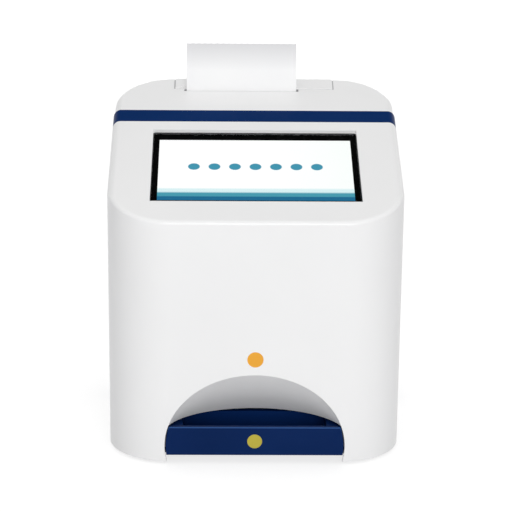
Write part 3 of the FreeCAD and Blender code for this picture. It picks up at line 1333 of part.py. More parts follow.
def electronics():
    sheet_form = box("board_sheet", around("0", "board_width"), BOARD_Y, (up("board_height"), BOARD_TOP))
    holes = [rod(f"board_hole_{name}", "z", "small_screw_radius + thread_gap", WHOLE_Z, x, y)
             for name, x, y in board_screw_places()]
    node("main_board", cut("main_board", sheet_form, *holes))
    usb = []
    for index in range(2):
        middle = f"usb_first + {index} * usb_spacing"
        mouth = box(f"usb_mouth_{index}", around(middle, "usb_width - 2 * port_shell"),
                    (forward("port_recess + usb_mouth_depth"), WHOLE_Y[1]),
                    (f"{BOARD_TOP} + port_shell", f"{BOARD_TOP} + usb_height - port_shell"))
        usb.append(port(f"usb_port_{index}", middle, "usb_width", "usb_height", "usb_depth", mouth))
    node("usb_ports", group("usb_ports", usb))
    data_mouth = box("data_mouth", around("data_place", "data_width - 2 * data_shell"),
                     (forward("port_recess + usb_mouth_depth"), WHOLE_Y[1]),
                     (f"{BOARD_TOP} + data_shell", f"{BOARD_TOP} + data_height - data_shell"))
    node("data_port", port("data_port", "data_place", "data_width", "data_height", "data_depth", data_mouth))
    power_z = f"{BOARD_TOP} + power_height / 2"
    power_mouth = cut("power_mouth",
                      rod("power_mouth_round", "y", "power_mouth_radius",
                          (forward("port_recess + usb_mouth_depth"), WHOLE_Y[1]), "power_place", power_z),
                      rod("power_pin", "y", "power_pin_radius",
                          (forward("port_recess + usb_mouth_depth + overrun"),
                           forward("port_recess + overrun")),
                          "power_place", power_z))
    node("power_jack", port("power_jack", "power_place", "power_width", "power_height", "power_depth",
                            power_mouth))
    heat_sink()
    buzzer_y = f"{BOARD_Y[0]} + board_post_front + buzzer_radius"
    node("buzzer", ring("buzzer", "z", "buzzer_radius", "buzzer_sound_radius",
                        (BOARD_TOP, f"{BOARD_TOP} + buzzer_height"),
                        "-board_width * buzzer_place_share", buzzer_y))


def heat_sink():
    y = (f"{BOARD_Y[0]} + board_post_front", f"{BOARD_Y[0]} + board_post_front + heat_sink_side")
    base = box("heat_sink_plate", around("board_width * heat_sink_place_share", "heat_sink_side"), y,
               (BOARD_TOP, f"{BOARD_TOP} + heat_sink_base"))
    fins = []
    for index in range(SIZES["heat_sink_fins"]):
        step = f"({index} / (heat_sink_fins - 1) - 1 / 2)"
        place = f"board_width * heat_sink_place_share + {step} * (heat_sink_side - heat_sink_fin)"
        fins.append(box(f"heat_sink_fin_{index}", around(place, "heat_sink_fin"), y,
                        (BOARD_TOP, f"{BOARD_TOP} + heat_sink_height")))
    node("heat_sink", join("heat_sink", base, *fins))


def power_switch():
    half = "switch_height / 2"
    shell = box("switch_block", around("switch_place", "switch_width"),
                (forward("port_recess + switch_depth"), forward("port_recess")),
                (f"{SWITCH_Z} - {half}", f"{SWITCH_Z} + {half}"))
    flange = box("switch_flange_plate", around("switch_place", "switch_width + 2 * switch_flange"),
                 (forward("wall + switch_flange_thickness"), forward("wall")),
                 (f"{SWITCH_Z} - {half} - switch_flange", f"{SWITCH_Z} + {half} + switch_flange"))
    well = box("switch_well", around("switch_place", "switch_width - 2 * switch_wall"),
               (forward("rocker_axis_in + rocker_depth + rocker_end_gap"), WHOLE_Y[1]),
               (f"{SWITCH_Z} - {half} + switch_wall", f"{SWITCH_Z} + {half} - switch_wall"))
    pin_holes = rod("rocker_pin_hole", "x", "rocker_pin_radius + shaft_gap",
                    around("switch_place", "switch_width - switch_wall"), forward("rocker_axis_in"), SWITCH_Z)
    node("switch_housing", cut("switch_housing", join("switch_solid", shell, flange), well, pin_holes))
    width = "switch_width - 2 * switch_wall - 2 * rocker_side_gap"
    tall = f"switch_height - 2 * switch_wall - 2 * rocker_end_gap"
    rocker = box("rocker_body", around("0", width), ("-rocker_depth", "rocker_axis_in - rocker_face_in"),
                 around("0", tall))
    pin = rod("rocker_pin", "x", "rocker_pin_radius",
              around("0", "switch_width - switch_wall - 2 * rocker_side_gap"), "0", "0")
    shape = join("power_rocker", rocker, pin)
    shape.Placement = FreeCAD.Placement(FreeCAD.Vector(), FreeCAD.Rotation(AXES["x"], 1))
    bind(shape, "Placement.Rotation.Angle", "rocker_tilt")
    bind(shape, "Placement.Base.x", "switch_place")
    bind(shape, "Placement.Base.y", forward("rocker_axis_in"))
    bind(shape, "Placement.Base.z", SWITCH_Z)
    node("power_rocker", shape)


# Flat cables
def ribbons():
    board_front = value(BOARD_Y[0])
    shelf_front = value(f"{POST_Y} - post_radius")
    bend = value("ribbon_bend")
    thin = value("ribbon_thickness")
    width = value("ribbon_width")
    low = value(BOARD_TOP)
    seat_n = "-frame_depth - display_board_thickness"
    seat_s = "screen_middle + lcd_length / 4"
    start = (value(slope_y(seat_s, seat_n)), value(slope_z(seat_s, seat_n)))
    reach_y = min(board_front, shelf_front) - bend / 2
    place = value("ribbon_place")
    points = [start, (reach_y, start[1] - 2 * bend), (reach_y, low + thin),
              (board_front + 2 * bend, low + thin)]
    sheet_solid("display_ribbon", points, [bend, bend], thin, (place, place + width))
    drop = box("cable_drop", CABLE_X, CABLE_Y, (BOARD_TOP, f"{PLATEN_Z} - cable_drop"))
    foot = box("cable_foot", (CABLE_X[0], f"{CABLE_X[1]} + cable_foot"), CABLE_Y,
               (BOARD_TOP, f"{BOARD_TOP} + ribbon_thickness"))
    node("printer_ribbon", join("printer_ribbon", drop, foot))


front_cover()
seam_band()
rear_cover()
base_plate()
feet()
case_screws()
machine_screws()
display()
drawer()
drawer_rails()
optics()
printer_lid()
platen()
printer_frame()
paper_bucket()
paper_roll()
paper_strip()
drive()
electronics()
power_switch()
ribbons()
doc.recompute()

# Checks before anything is written
for thing in doc.Objects:
    if "Invalid" in thing.State or "Error" in thing.State:
        raise RuntimeError(f"{thing.Label} did not rebuild: {thing.State}")
for piece in nodes:
    if piece.Shape.isNull() or not piece.Shape.isValid() or not piece.Shape.Solids:
        raise RuntimeError(f"{piece.Label} has no valid solid")

os.makedirs("parts", exist_ok=True)
for piece in nodes:
    piece.Shape.exportStep(os.path.join("parts", piece.Label + ".step"))
    print(piece.Label, len(piece.Shape.Solids), "solids", round(piece.Shape.Volume), "cubic millimetres")
print(len(nodes), "sub-parts written")
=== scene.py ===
# %% [markdown]
# # Rapid test reader, dressed for a studio photograph
#
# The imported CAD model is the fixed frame: it holds every real shape, and this notebook adds the
# looks. It loads the frame first, because each new piece is placed by the sizes found in it.
# Lengths are in metres: X runs to the right, Y to the back and Z up, from the resting surface.

# %% Load the frame
import bmesh
import bpy
import json
import math
from mathutils import Matrix, Vector


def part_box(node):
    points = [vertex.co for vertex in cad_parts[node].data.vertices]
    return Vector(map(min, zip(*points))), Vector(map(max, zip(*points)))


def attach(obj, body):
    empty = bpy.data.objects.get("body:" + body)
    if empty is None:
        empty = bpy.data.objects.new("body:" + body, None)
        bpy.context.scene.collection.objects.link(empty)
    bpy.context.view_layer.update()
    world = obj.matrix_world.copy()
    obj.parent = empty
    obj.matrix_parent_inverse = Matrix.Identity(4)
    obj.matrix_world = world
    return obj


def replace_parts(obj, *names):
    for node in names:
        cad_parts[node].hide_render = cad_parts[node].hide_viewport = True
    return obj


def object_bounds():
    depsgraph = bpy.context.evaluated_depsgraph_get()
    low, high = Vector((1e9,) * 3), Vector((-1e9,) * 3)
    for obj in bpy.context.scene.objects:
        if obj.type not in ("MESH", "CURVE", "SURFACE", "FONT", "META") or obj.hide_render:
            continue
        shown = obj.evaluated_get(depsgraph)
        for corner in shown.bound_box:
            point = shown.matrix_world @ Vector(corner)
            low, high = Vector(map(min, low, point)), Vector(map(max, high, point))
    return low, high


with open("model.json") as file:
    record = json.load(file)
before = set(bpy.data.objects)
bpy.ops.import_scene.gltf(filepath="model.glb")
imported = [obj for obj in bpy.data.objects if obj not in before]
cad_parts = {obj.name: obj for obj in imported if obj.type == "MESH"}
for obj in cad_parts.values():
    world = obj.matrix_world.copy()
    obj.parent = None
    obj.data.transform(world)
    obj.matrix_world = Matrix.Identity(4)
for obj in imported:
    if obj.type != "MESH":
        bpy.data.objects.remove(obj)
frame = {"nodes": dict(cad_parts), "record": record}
cad_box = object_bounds()
MM = 0.001

# %% [markdown]
# The sloping top carries the display, the band and the paper lid. A point on it is easiest to
# name by its distance up the slope and its height square to it, so one matrix turns such places
# into the frame's own. The slope's front edge is the frame's front and the height of the rim.

# %% Coordinates on the slope
SLOPE = math.radians(17.5)
RIM_HEIGHT = 123.2 * MM
QUARTER_TURN = math.radians(90)
front_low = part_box("front_cover")[0]
slope_place = (Matrix.Translation((0, front_low.y, RIM_HEIGHT))
               @ Matrix.Rotation(SLOPE, 4, "X"))


def slope_box(name):
    """A node's lowest and highest corners along the slope's own axes."""
    back = slope_place.inverted()
    points = [back @ vertex.co for vertex in frame["nodes"][name].data.vertices]
    return [Vector([pick(point[axis] for point in points) for axis in range(3)])
            for pick in (min, max)]


print("slope starts at", [round(value, 4) for value in slope_place.translation])

# %% [markdown]
# ## The camera
#
# The photograph looks slightly down on the front with a long lens, so the sides hardly converge.
# Its angles and distance were fitted to the corners of the window, the band and the arch. The
# three axes of the picture are set one by one, which keeps the small roll of the photograph.

# %% Camera
PICTURE = 512
FOCAL_PIXELS = 2057.98
SENSOR = 36.0
PITCH = math.radians(17.9385)
YAW = math.radians(-1.0314)
ROLL = math.radians(0.5533)
CAMERA_PLACE = Vector((-0.01683, -0.98656, 0.40539))

level_right = Vector((math.cos(YAW), math.sin(YAW), 0))
level_ahead = Vector((-math.sin(YAW), math.cos(YAW), 0))
ahead = level_ahead * math.cos(PITCH) + Vector((0, 0, -1)) * math.sin(PITCH)
level_up = level_right.cross(ahead)
picture_right = level_right * math.cos(ROLL) + level_up * math.sin(ROLL)
picture_up = level_up * math.cos(ROLL) - level_right * math.sin(ROLL)

camera_data = bpy.data.cameras.new("studio_camera")
camera_data.sensor_width = SENSOR
camera_data.lens = FOCAL_PIXELS / PICTURE * SENSOR
camera_data.clip_start = 0.05
camera_data.clip_end = 30
camera = bpy.data.objects.new("studio_camera", camera_data)
bpy.context.collection.objects.link(camera)
turn = Matrix((picture_right, picture_up, -ahead)).transposed().to_4x4()
camera.matrix_world = Matrix.Translation(CAMERA_PLACE) @ turn
bpy.context.scene.camera = camera
print("camera lens", round(camera_data.lens, 1), "mm")

# %% [markdown]
# ## Small helpers for materials
#
# A material could be clicked together in the editor, but code keeps it the same each time. Two
# short helpers add a node and join two sockets, and the others each wrap a node that many
# materials need.


# %% Helpers for node trees
def srgb(red, green, blue):
    """A colour as a picture editor names it, from 0 to 255, made linear."""
    linear = []
    for value in (red, green, blue):
        share = value / 255
        linear.append(share / 12.92 if share <= 0.04045 else ((share + 0.055) / 1.055) ** 2.4)
    return (*linear, 1.0)


def add(tree, kind, **values):
    """Adds a node; each value is an input socket's, or a setting of the node itself."""
    made = tree.nodes.new(kind)
    for name, value in values.items():
        label = name.replace("_", " ")
        if label in made.inputs:
            made.inputs[label].default_value = value
        else:
            setattr(made, name, value)
    return made


def join(tree, source, target):
    tree.links.new(source, target)


def maths(tree, operation, *terms):
    """A Math node; each term is a number or another node's output."""
    made = add(tree, "ShaderNodeMath", operation=operation)
    for socket, term in zip(made.inputs, terms):
        if isinstance(term, bpy.types.NodeSocket):
            join(tree, term, socket)
        else:
            socket.default_value = term
    return made.outputs["Value"]


def remap(tree, source, start, end, low=0.0, high=1.0):
    """Maps the range from start to end onto low to high, and holds the ends."""
    made = add(tree, "ShaderNodeMapRange", From_Min=start, From_Max=end, To_Min=low, To_Max=high)
    join(tree, source, made.inputs["Value"])
    return made.outputs["Result"]


def component(tree, vector, axis):
    """The X, Y or Z of a vector."""
    split = add(tree, "ShaderNodeSeparateXYZ")
    join(tree, vector, split.inputs["Vector"])
    return split.outputs[axis]


print("node helpers ready")

# %% [markdown]
# Colours need two helpers more. A ramp turns a value into a colour between two tones, and a
# layer lays one colour over another where a mask says so, as print lies over plastic.


# %% Helpers for colours
def ramp(tree, source, low, high, low_colour, high_colour):
    made = add(tree, "ShaderNodeValToRGB")
    made.color_ramp.elements[0].position = low
    made.color_ramp.elements[0].color = low_colour
    made.color_ramp.elements[1].position = high
    made.color_ramp.elements[1].color = high_colour
    join(tree, source, made.inputs["Fac"])
    return made.outputs["Color"]


def layer(tree, below, mask, colour):
    mixed = add(tree, "ShaderNodeMix", data_type="RGBA")
    join(tree, mask, mixed.inputs["Factor"])
    join(tree, below, mixed.inputs["A"])
    mixed.inputs["B"].default_value = colour
    return mixed.outputs["Result"]


print("colour helpers ready")

# %% [markdown]
# Each finish is a Principled BSDF, the shader that can be plastic, metal or glass. Numbers that
# are the same all over are set on its own sockets, and patterns feed the ones that vary. Every
# finish is kept by name, so that the CAD nodes can be dressed with it later.

# %% Start a finish
FINISHES = {}


def start_material(name, **plain):
    material = bpy.data.materials.new(name)
    FINISHES[name] = material
    material.use_nodes = True
    tree = material.node_tree
    shader = tree.nodes["Principled BSDF"]
    for socket_name, value in plain.items():
        shader.inputs[socket_name.replace("_", " ")].default_value = value
    place = add(tree, "ShaderNodeTexCoord").outputs["Object"]
    return material, tree, shader, place


print("finishes can be started")

# %% [markdown]
# ## Effects that several finishes share
#
# Moulded plastic has a fine grain, metal has drawn lines, handled parts have smudges and dust
# settles on what faces up. Each effect is a node group with named inputs, built once and used
# by many materials with their own scales. All start from noise, because real wear and grain
# never repeat, and they give only values, never a shader.


# %% Start a shared group
def start_group(name, inputs, outputs):
    """A node group with a vector input, and number inputs and outputs."""
    group = bpy.data.node_groups.new(name, "ShaderNodeTree")
    group.interface.new_socket("Vector", in_out="INPUT", socket_type="NodeSocketVector")
    for label, value in inputs.items():
        made = group.interface.new_socket(label, in_out="INPUT", socket_type="NodeSocketFloat")
        made.default_value = value
    for label in outputs:
        group.interface.new_socket(label, in_out="OUTPUT", socket_type="NodeSocketFloat")
    return group, group.nodes.new("NodeGroupInput"), group.nodes.new("NodeGroupOutput")


def noise(tree, place, scale, **values):
    """A noise whose place and scale come from other sockets."""
    made = add(tree, "ShaderNodeTexNoise", **values)
    join(tree, place, made.inputs["Vector"])
    join(tree, scale, made.inputs["Scale"])
    return made.outputs["Fac"]


print("groups can be started")

# %% [markdown]
# A mould is spark-eroded or blasted, and its surface comes off on the plastic as a grain far
# finer than a millimetre. The colour also drifts a little over a part. Two noises make them, a
# fine one for height and a broad one for tone.


# %% Moulded grain
def build_moulded_grain():
    group, inside, outside = start_group("moulded_grain", {"Grain Scale": 3000, "Drift Scale": 14},
                                         ("Grain", "Drift"))
    place = inside.outputs["Vector"]
    grain = noise(group, place, inside.outputs["Grain Scale"], Detail=2.0, Roughness=0.6)
    drift = noise(group, place, inside.outputs["Drift Scale"], Detail=3.0, Roughness=0.5)
    join(group, grain, outside.inputs["Grain"])
    join(group, drift, outside.inputs["Drift"])
    return group


moulded_grain = build_moulded_grain()
print("group", moulded_grain.name)

# %% [markdown]
# Hands leave a film that dulls the gloss in soft patches. A distorted noise gives the patches,
# and only its upper part is kept, so that clean surface stays between them.


# %% Handling smudges
def build_handling():
    group, inside, outside = start_group("handling_smudges", {"Smudge Scale": 60}, ("Smudges",))
    patches = noise(group, inside.outputs["Vector"], inside.outputs["Smudge Scale"], Detail=4.0,
                    Roughness=0.62, Distortion=0.6)
    join(group, remap(group, patches, 0.48, 0.68), outside.inputs["Smudges"])
    return group


handling = build_handling()
print("group", handling.name)

# %% [markdown]
# Rolled and drawn metal carries fine lines in the direction in which it was worked. A noise
# whose space is squeezed along one axis draws out into such lines, at any scale.


# %% Drawn lines on metal
def build_drawn_lines():
    group, inside, outside = start_group("drawn_lines", {"Line Scale": 900, "Stretch": 0.03},
                                         ("Lines",))
    stretch = add(group, "ShaderNodeCombineXYZ", X=1.0, Z=1.0)
    join(group, inside.outputs["Stretch"], stretch.inputs["Y"])
    place = add(group, "ShaderNodeVectorMath", operation="MULTIPLY")
    join(group, inside.outputs["Vector"], place.inputs[0])
    join(group, stretch.outputs["Vector"], place.inputs[1])
    lines = noise(group, place.outputs["Vector"], inside.outputs["Line Scale"], Detail=3.0,
                  Roughness=0.7)
    join(group, lines, outside.inputs["Lines"])
    return group


drawn_lines = build_drawn_lines()
print("group", drawn_lines.name)

# %% [markdown]
# Dust lies on what faces up. The height part of the surface's normal finds those faces, and a
# fine noise breaks the layer into specks. The amount is an input, so each finish sets its own.


# %% Settled dust
def build_settled_dust():
    group, inside, outside = start_group("settled_dust", {"Dust Scale": 400, "Amount": 0.5},
                                         ("Dust",))
    normal = add(group, "ShaderNodeNewGeometry").outputs["Normal"]
    facing_up = remap(group, component(group, normal, "Z"), 0.6, 1.0)
    specks = noise(group, inside.outputs["Vector"], inside.outputs["Dust Scale"], Detail=6.0,
                   Roughness=0.7)
    amount = maths(group, "MULTIPLY", specks, inside.outputs["Amount"])
    join(group, maths(group, "MULTIPLY", facing_up, amount), outside.inputs["Dust"])
    return group


settled_dust = build_settled_dust()
print("group", settled_dust.name)

# %% [markdown]
# Three helpers put effects to use in a finish. One places a group and sets its inputs. One
# feeds the colour, and the roughness between two values by a mask. One turns a height into a
# bump, which bends the light without any geometry: right for grain, too fine to model.


# %% Use an effect
def effect(tree, group, place, **values):
    made = tree.nodes.new("ShaderNodeGroup")
    made.node_tree = group
    join(tree, place, made.inputs["Vector"])
    for name, value in values.items():
        made.inputs[name.replace("_", " ")].default_value = value
    return made


def feed(tree, shader, colour, mask, roughness, roughness_in_mask):
    """Feeds a colour, and a roughness that goes with a mask from one value to the other."""
    join(tree, colour, shader.inputs["Base Color"])
    join(tree, remap(tree, mask, 0.0, 1.0, roughness, roughness_in_mask),
         shader.inputs["Roughness"])


def bump(tree, shader, height, strength, distance):
    """Feeds a height to the shader's normal; the distance is in metres."""
    made = add(tree, "ShaderNodeBump", Strength=strength, Distance=distance)
    join(tree, height, made.inputs["Height"])
    join(tree, made.outputs["Normal"], shader.inputs["Normal"])


print("effects ready")

# %% [markdown]
# ## Plastics
#
# Most of the unit is moulded plastic, so one recipe makes them all: slow drifts between two
# near tones, smudges in the gloss and a fine grain. Each plastic then differs only in its
# numbers, which keeps the family alike.


# %% Moulded plastic
def moulded(name, colour, drift_colour, roughness, grain_depth=4e-6, grain_scale=3000, smudge=0.08,
            **plain):
    """A plastic that drifts between two near colours; the grain's depth is in metres."""
    material, tree, shader, place = start_material(name, **plain)
    grain = effect(tree, moulded_grain, place, Grain_Scale=grain_scale)
    marks = effect(tree, handling, place)
    tone = ramp(tree, grain.outputs["Drift"], 0.35, 0.65, colour, drift_colour)
    feed(tree, shader, tone, marks.outputs["Smudges"], roughness, roughness + smudge)
    bump(tree, shader, grain.outputs["Grain"], 0.35, grain_depth)
    return material


print("moulded plastic ready")

# %% [markdown]
# The shells are white with a soft gloss, and the band and the drawer are navy. The photograph
# shows no texture, only slow changes of tone, so the grain is very fine and the smudges are
# faint. The scoop over the drawer is the same moulding, yet reads grey because it faces down.

# %% Case plastics
shell_white = moulded("shell_white", srgb(240, 240, 240), srgb(242, 242, 242), 0.28,
                      smudge=0.015, Specular_IOR_Level=0.4)
band_blue = moulded("band_blue", srgb(2, 40, 93), srgb(4, 44, 99), 0.3, grain_depth=1e-6,
                    smudge=0.02, Specular_IOR_Level=0.05)
drawer_blue = moulded("drawer_blue", srgb(7, 34, 80), srgb(10, 38, 87), 0.3, grain_depth=2e-6,
                      smudge=0.03, Specular_IOR_Level=0.05)
print("case finishes", shell_white.name, band_blue.name, drawer_blue.name)

# %% [markdown]
# Inside the case sit darker structural plastics with a coarser grain, natural slide plastic,
# the gears and the bodies of the sockets. They are moulded too, and share the recipe.

# %% Inner plastics
dark_plastic = moulded("dark_plastic", srgb(48, 48, 51), srgb(58, 58, 61), 0.5, grain_depth=1.5e-5,
                       grain_scale=1600)
rail_plastic = moulded("rail_plastic", srgb(196, 196, 190), srgb(205, 204, 198), 0.42)
gear_plastic = moulded("gear_plastic", srgb(222, 218, 206), srgb(212, 207, 194), 0.4)
socket_plastic = moulded("socket_plastic", srgb(26, 26, 28), srgb(34, 34, 36), 0.45,
                         grain_depth=8e-6)
print("inner plastics", dark_plastic.name, rail_plastic.name, gear_plastic.name)

# %% [markdown]
# ## Rubber
#
# The feet and the platen are soft black rubber: dull, a little uneven, and quick to hold dust.
# Dust mainly dulls it further, so the dust effect feeds the roughness and leaves the colour.


# %% Rubber
def make_rubber():
    material, tree, shader, place = start_material("rubber", Specular_IOR_Level=0.3)
    grain = effect(tree, moulded_grain, place, Grain_Scale=1400, Drift_Scale=90)
    dust = effect(tree, settled_dust, place, Amount=0.35)
    tone = ramp(tree, grain.outputs["Drift"], 0.3, 0.7, srgb(30, 30, 31), srgb(42, 42, 43))
    feed(tree, shader, tone, dust.outputs["Dust"], 0.7, 0.95)
    bump(tree, shader, grain.outputs["Grain"], 0.6, 3e-5)
    return material


rubber = make_rubber()
print("finish", rubber.name)

# %% [markdown]
# ## Metals
#
# The printer's frame and the screws are plated steel, the bushes turned brass, and the heat
# sink extruded aluminium. Drawn lines vary their gloss and their height, which is what tells
# worked metal from grey paint.

# %% Metals
LINE_GLOSS = -0.08
LINE_DULL = 0.1


def metal(name, colour, drift_colour, roughness, line_scale=900, depth=6e-6):
    material, tree, shader, place = start_material(name, Metallic=1.0)
    lines = effect(tree, drawn_lines, place, Line_Scale=line_scale)
    grain = effect(tree, moulded_grain, place, Drift_Scale=45)
    tone = ramp(tree, grain.outputs["Drift"], 0.3, 0.7, colour, drift_colour)
    feed(tree, shader, tone, lines.outputs["Lines"], roughness + LINE_GLOSS,
         roughness + LINE_DULL)
    bump(tree, shader, lines.outputs["Lines"], 0.4, depth)
    return material


steel = metal("steel", srgb(196, 198, 200), srgb(180, 183, 188), 0.34)
magnet = metal("magnet", srgb(214, 212, 206), srgb(204, 202, 198), 0.2, line_scale=300, depth=2e-6)
brass = metal("brass", srgb(214, 178, 98), srgb(196, 158, 84), 0.3, line_scale=1500)
aluminium = metal("aluminium", srgb(206, 208, 212), srgb(192, 194, 200), 0.38)
socket_metal = metal("socket_metal", srgb(208, 208, 206), srgb(190, 190, 190), 0.28)
print("metals", steel.name, magnet.name, brass.name, aluminium.name, socket_metal.name)

# %% [markdown]
# ## Boards, paper and the rest
#
# A circuit board shows copper tracks as a lighter green net under its varnish. A brick pattern
# turned into thin lines gives tracks at right angles, and a cell pattern sprinkles tinned pads,
# so no drawing of a board is needed.

# %% Circuit board
PAD_RADIUS_SHARE = 0.16


def make_circuit_board():
    material, tree, shader, place = start_material("circuit_board", Coat_Weight=0.3)
    tracks = add(tree, "ShaderNodeTexBrick", Color1=srgb(16, 74, 42), Color2=srgb(20, 84, 48),
                 Mortar=srgb(44, 124, 74), Scale=220.0, Mortar_Size=0.06, Brick_Width=1.7,
                 Row_Height=0.35, Bias=0.0)
    join(tree, place, tracks.inputs["Vector"])
    cells = add(tree, "ShaderNodeTexVoronoi", Scale=330.0)
    join(tree, place, cells.inputs["Vector"])
    pads = maths(tree, "LESS_THAN", cells.outputs["Distance"], PAD_RADIUS_SHARE)
    tinned = layer(tree, tracks.outputs["Color"], pads, srgb(198, 190, 160))
    feed(tree, shader, tinned, pads, 0.45, 0.25)
    bump(tree, shader, tracks.outputs["Fac"], 0.3, 2e-5)
    return material


circuit_board = make_circuit_board()
print("finish", circuit_board.name)

# %% [markdown]
# The printout is coated till paper: almost white and smooth, with faint fibres. Towards its free
# end, where it curls back, the tone is painted greyer: painted shade of the curl, laid into the
# colour, because the curl alone renders lighter than wanted. So the tone changes with height.

# %% Paper
CURL_SHADE_LENGTH = 12 * MM


def make_paper():
    material, tree, shader, place = start_material("paper", Specular_IOR_Level=0.3,
                                                   Sheen_Weight=0.05)
    fibres = effect(tree, moulded_grain, place, Grain_Scale=2200, Drift_Scale=40)
    white = ramp(tree, fibres.outputs["Drift"], 0.3, 0.7, srgb(244, 244, 245), srgb(247, 247, 247))
    free_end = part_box("paper_strip")[1].z
    # Painted shade: the tone greys over the last part below the free end, where the curl turns away
    # from the light.
    painted_curl_shade = remap(tree, component(tree, place, "Z"), free_end - CURL_SHADE_LENGTH, free_end)
    tone = layer(tree, white, painted_curl_shade, srgb(222, 222, 224))
    feed(tree, shader, tone, fibres.outputs["Grain"], 0.5, 0.62)
    bump(tree, shader, fibres.outputs["Grain"], 0.25, 1e-5)
    return material


paper = make_paper()
print("finish", paper.name)

# %% [markdown]
# The roll in the bucket shows its turns as fine rings on both ends. A wave pattern in rings
# about X does that, once a Mapping node has brought the roll's middle to the pattern's centre.


# %% Wound paper
def make_wound_paper():
    material, tree, shader, place = start_material("wound_paper", Specular_IOR_Level=0.3)
    low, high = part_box("paper_roll")
    centre = add(tree, "ShaderNodeMapping", Location=-(low + high) / 2)
    join(tree, place, centre.inputs["Vector"])
    turns = add(tree, "ShaderNodeTexWave", wave_type="RINGS", rings_direction="X", Scale=900.0,
                Distortion=1.5, Detail=2.0)
    join(tree, centre.outputs["Vector"], turns.inputs["Vector"])
    rings = turns.outputs["Fac"]
    tone = ramp(tree, rings, 0.0, 1.0, srgb(222, 221, 218), srgb(244, 244, 242))
    feed(tree, shader, tone, rings, 0.65, 0.5)
    bump(tree, shader, rings, 0.3, 3e-5)
    return material


wound_paper = make_wound_paper()
print("finish", wound_paper.name)

# %% [markdown]
# The roll's card core, the print head's ceramic bar, the flat cables, the lamps and the black
# can of the display need only a drift of tone and a grain of the right size, so they use the
# moulded recipe with their own numbers.

# %% Small finishes
cardboard = moulded("cardboard", srgb(164, 134, 98), srgb(182, 152, 114), 0.8, grain_depth=6e-5,
                    grain_scale=700)
ceramic_head = moulded("ceramic_head", srgb(150, 145, 138), srgb(138, 133, 127), 0.25)
flat_cable = moulded("flat_cable", srgb(222, 216, 198), srgb(210, 204, 188), 0.35)
lamp = moulded("lamp", srgb(244, 240, 206), srgb(238, 226, 170), 0.2, Coat_Weight=0.5)
display_panel = moulded("display_panel", srgb(34, 34, 38), srgb(42, 42, 46), 0.4)
print("small finishes", cardboard.name, ceramic_head.name, flat_cable.name, lamp.name)

# %% [markdown]
# Glass is the Principled BSDF with full transmission. The display's pane has a coating against
# reflections, which a low index of refraction copies simply; the lens keeps that of plain
# glass. Smudges keep both from looking empty.

# %% Clear glass
CLEAN_GLASS = 0.01
COATED_INDEX = 1.25
PLAIN_INDEX = 1.5


def make_glass(name, tint, smudge_roughness, index):
    material, tree, shader, place = start_material(name, Transmission_Weight=1.0, IOR=index,
                                                   Specular_IOR_Level=0.12)
    marks = effect(tree, handling, place, Smudge_Scale=45).outputs["Smudges"]
    tone = ramp(tree, marks, 0.0, 1.0, tint, (1, 1, 1, 1))
    feed(tree, shader, tone, marks, CLEAN_GLASS, smudge_roughness)
    return material


display_glass = make_glass("display_glass", (0.98, 0.99, 0.99, 1), 0.03, COATED_INDEX)
lens_glass = make_glass("lens_glass", (0.93, 0.97, 1.0, 1), 0.02, PLAIN_INDEX)
print("glasses", display_glass.name, lens_glass.name)

# %% [markdown]
# Every CAD node belongs to a slot of the record, and the finishes have the slots' names, so one
# short loop dresses all the nodes, and stops with an error if a slot was forgotten. Only the
# roll differs, for the rings on its ends.


# %% Dress the CAD nodes
def dress_nodes():
    slots = {part["node"]: part["material_slot"] for part in frame["record"]["subparts"]}
    for name, node in frame["nodes"].items():
        node.data.materials[0] = FINISHES[slots[name]]
    frame["nodes"]["paper_roll"].data.materials[0] = wound_paper
    return len(slots)


print("dressed", dress_nodes(), "nodes")

# %% [markdown]
# ## Making new pieces
#
# New pieces are built in bmesh and finished by one helper, which gives them a body to ride on,
# a finish and smooth shading with crisp edges. Weighted normals keep large faces flat beside
# rounded edges. The place is in the mesh, as it is in the CAD nodes.


# %% Finish a piece
def make_object(name, shape, material):
    """Turns a bmesh into an object at the origin."""
    mesh = bpy.data.meshes.new(name)
    shape.to_mesh(mesh)
    shape.free()
    mesh.materials.append(material)
    made = bpy.data.objects.new(name, mesh)
    bpy.context.collection.objects.link(made)
    return made


def finish_piece(name, shape, material, body, place=None, angle=35):
    """Makes the bmesh a piece of a body, shaded smooth up to an angle in degrees."""
    if place is not None:
        bmesh.ops.transform(shape, matrix=place, verts=shape.verts)
    bmesh.ops.recalc_face_normals(shape, faces=shape.faces)
    piece = make_object(name, shape, material)
    piece.data.shade_smooth()
    piece.data.set_sharp_from_angle(angle=math.radians(angle))
    weighted = piece.modifiers.new("large faces stay flat", "WEIGHTED_NORMAL")
    weighted.keep_sharp = True
    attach(piece, body)
    print(name, len(piece.data.polygons), "faces on", body)
    return piece


print("pieces can be finished")

# %% [markdown]
# Small parts start as a block between two corners, and thin ones as a flat grid. Nothing real
# has razor edges, so a third helper rounds the edges it is given, or all of them. The last one
# picks the new vertices out of what an extrusion returns, because those are moved next.


# %% Blocks, flat grids and eased edges
def block(low, high):
    shape = bmesh.new()
    bmesh.ops.create_cube(shape, size=1)
    low, high = Vector(low), Vector(high)
    bmesh.ops.scale(shape, vec=high - low, verts=shape.verts)
    bmesh.ops.translate(shape, vec=(low + high) / 2, verts=shape.verts)
    return shape


def flat_grid(width, length, middle=(0, 0, 0), across=1, along=1):
    """A level rectangle with its middle at a place, divided across and along."""
    shape = bmesh.new()
    bmesh.ops.create_grid(shape, x_segments=across, y_segments=along, size=0.5)
    bmesh.ops.scale(shape, vec=(width, length, 1), verts=shape.verts)
    bmesh.ops.translate(shape, vec=middle, verts=shape.verts)
    return shape


def ease(shape, width, segments=2, edges=None):
    bmesh.ops.bevel(shape, geom=list(edges or shape.edges), offset=width, offset_type="OFFSET",
                    segments=segments, profile=0.5, affect="EDGES", material=-1,
                    clamp_overlap=True)


def vertices_of(geometry):
    return [item for item in geometry if isinstance(item, bmesh.types.BMVert)]


print("blocks and grids ready")

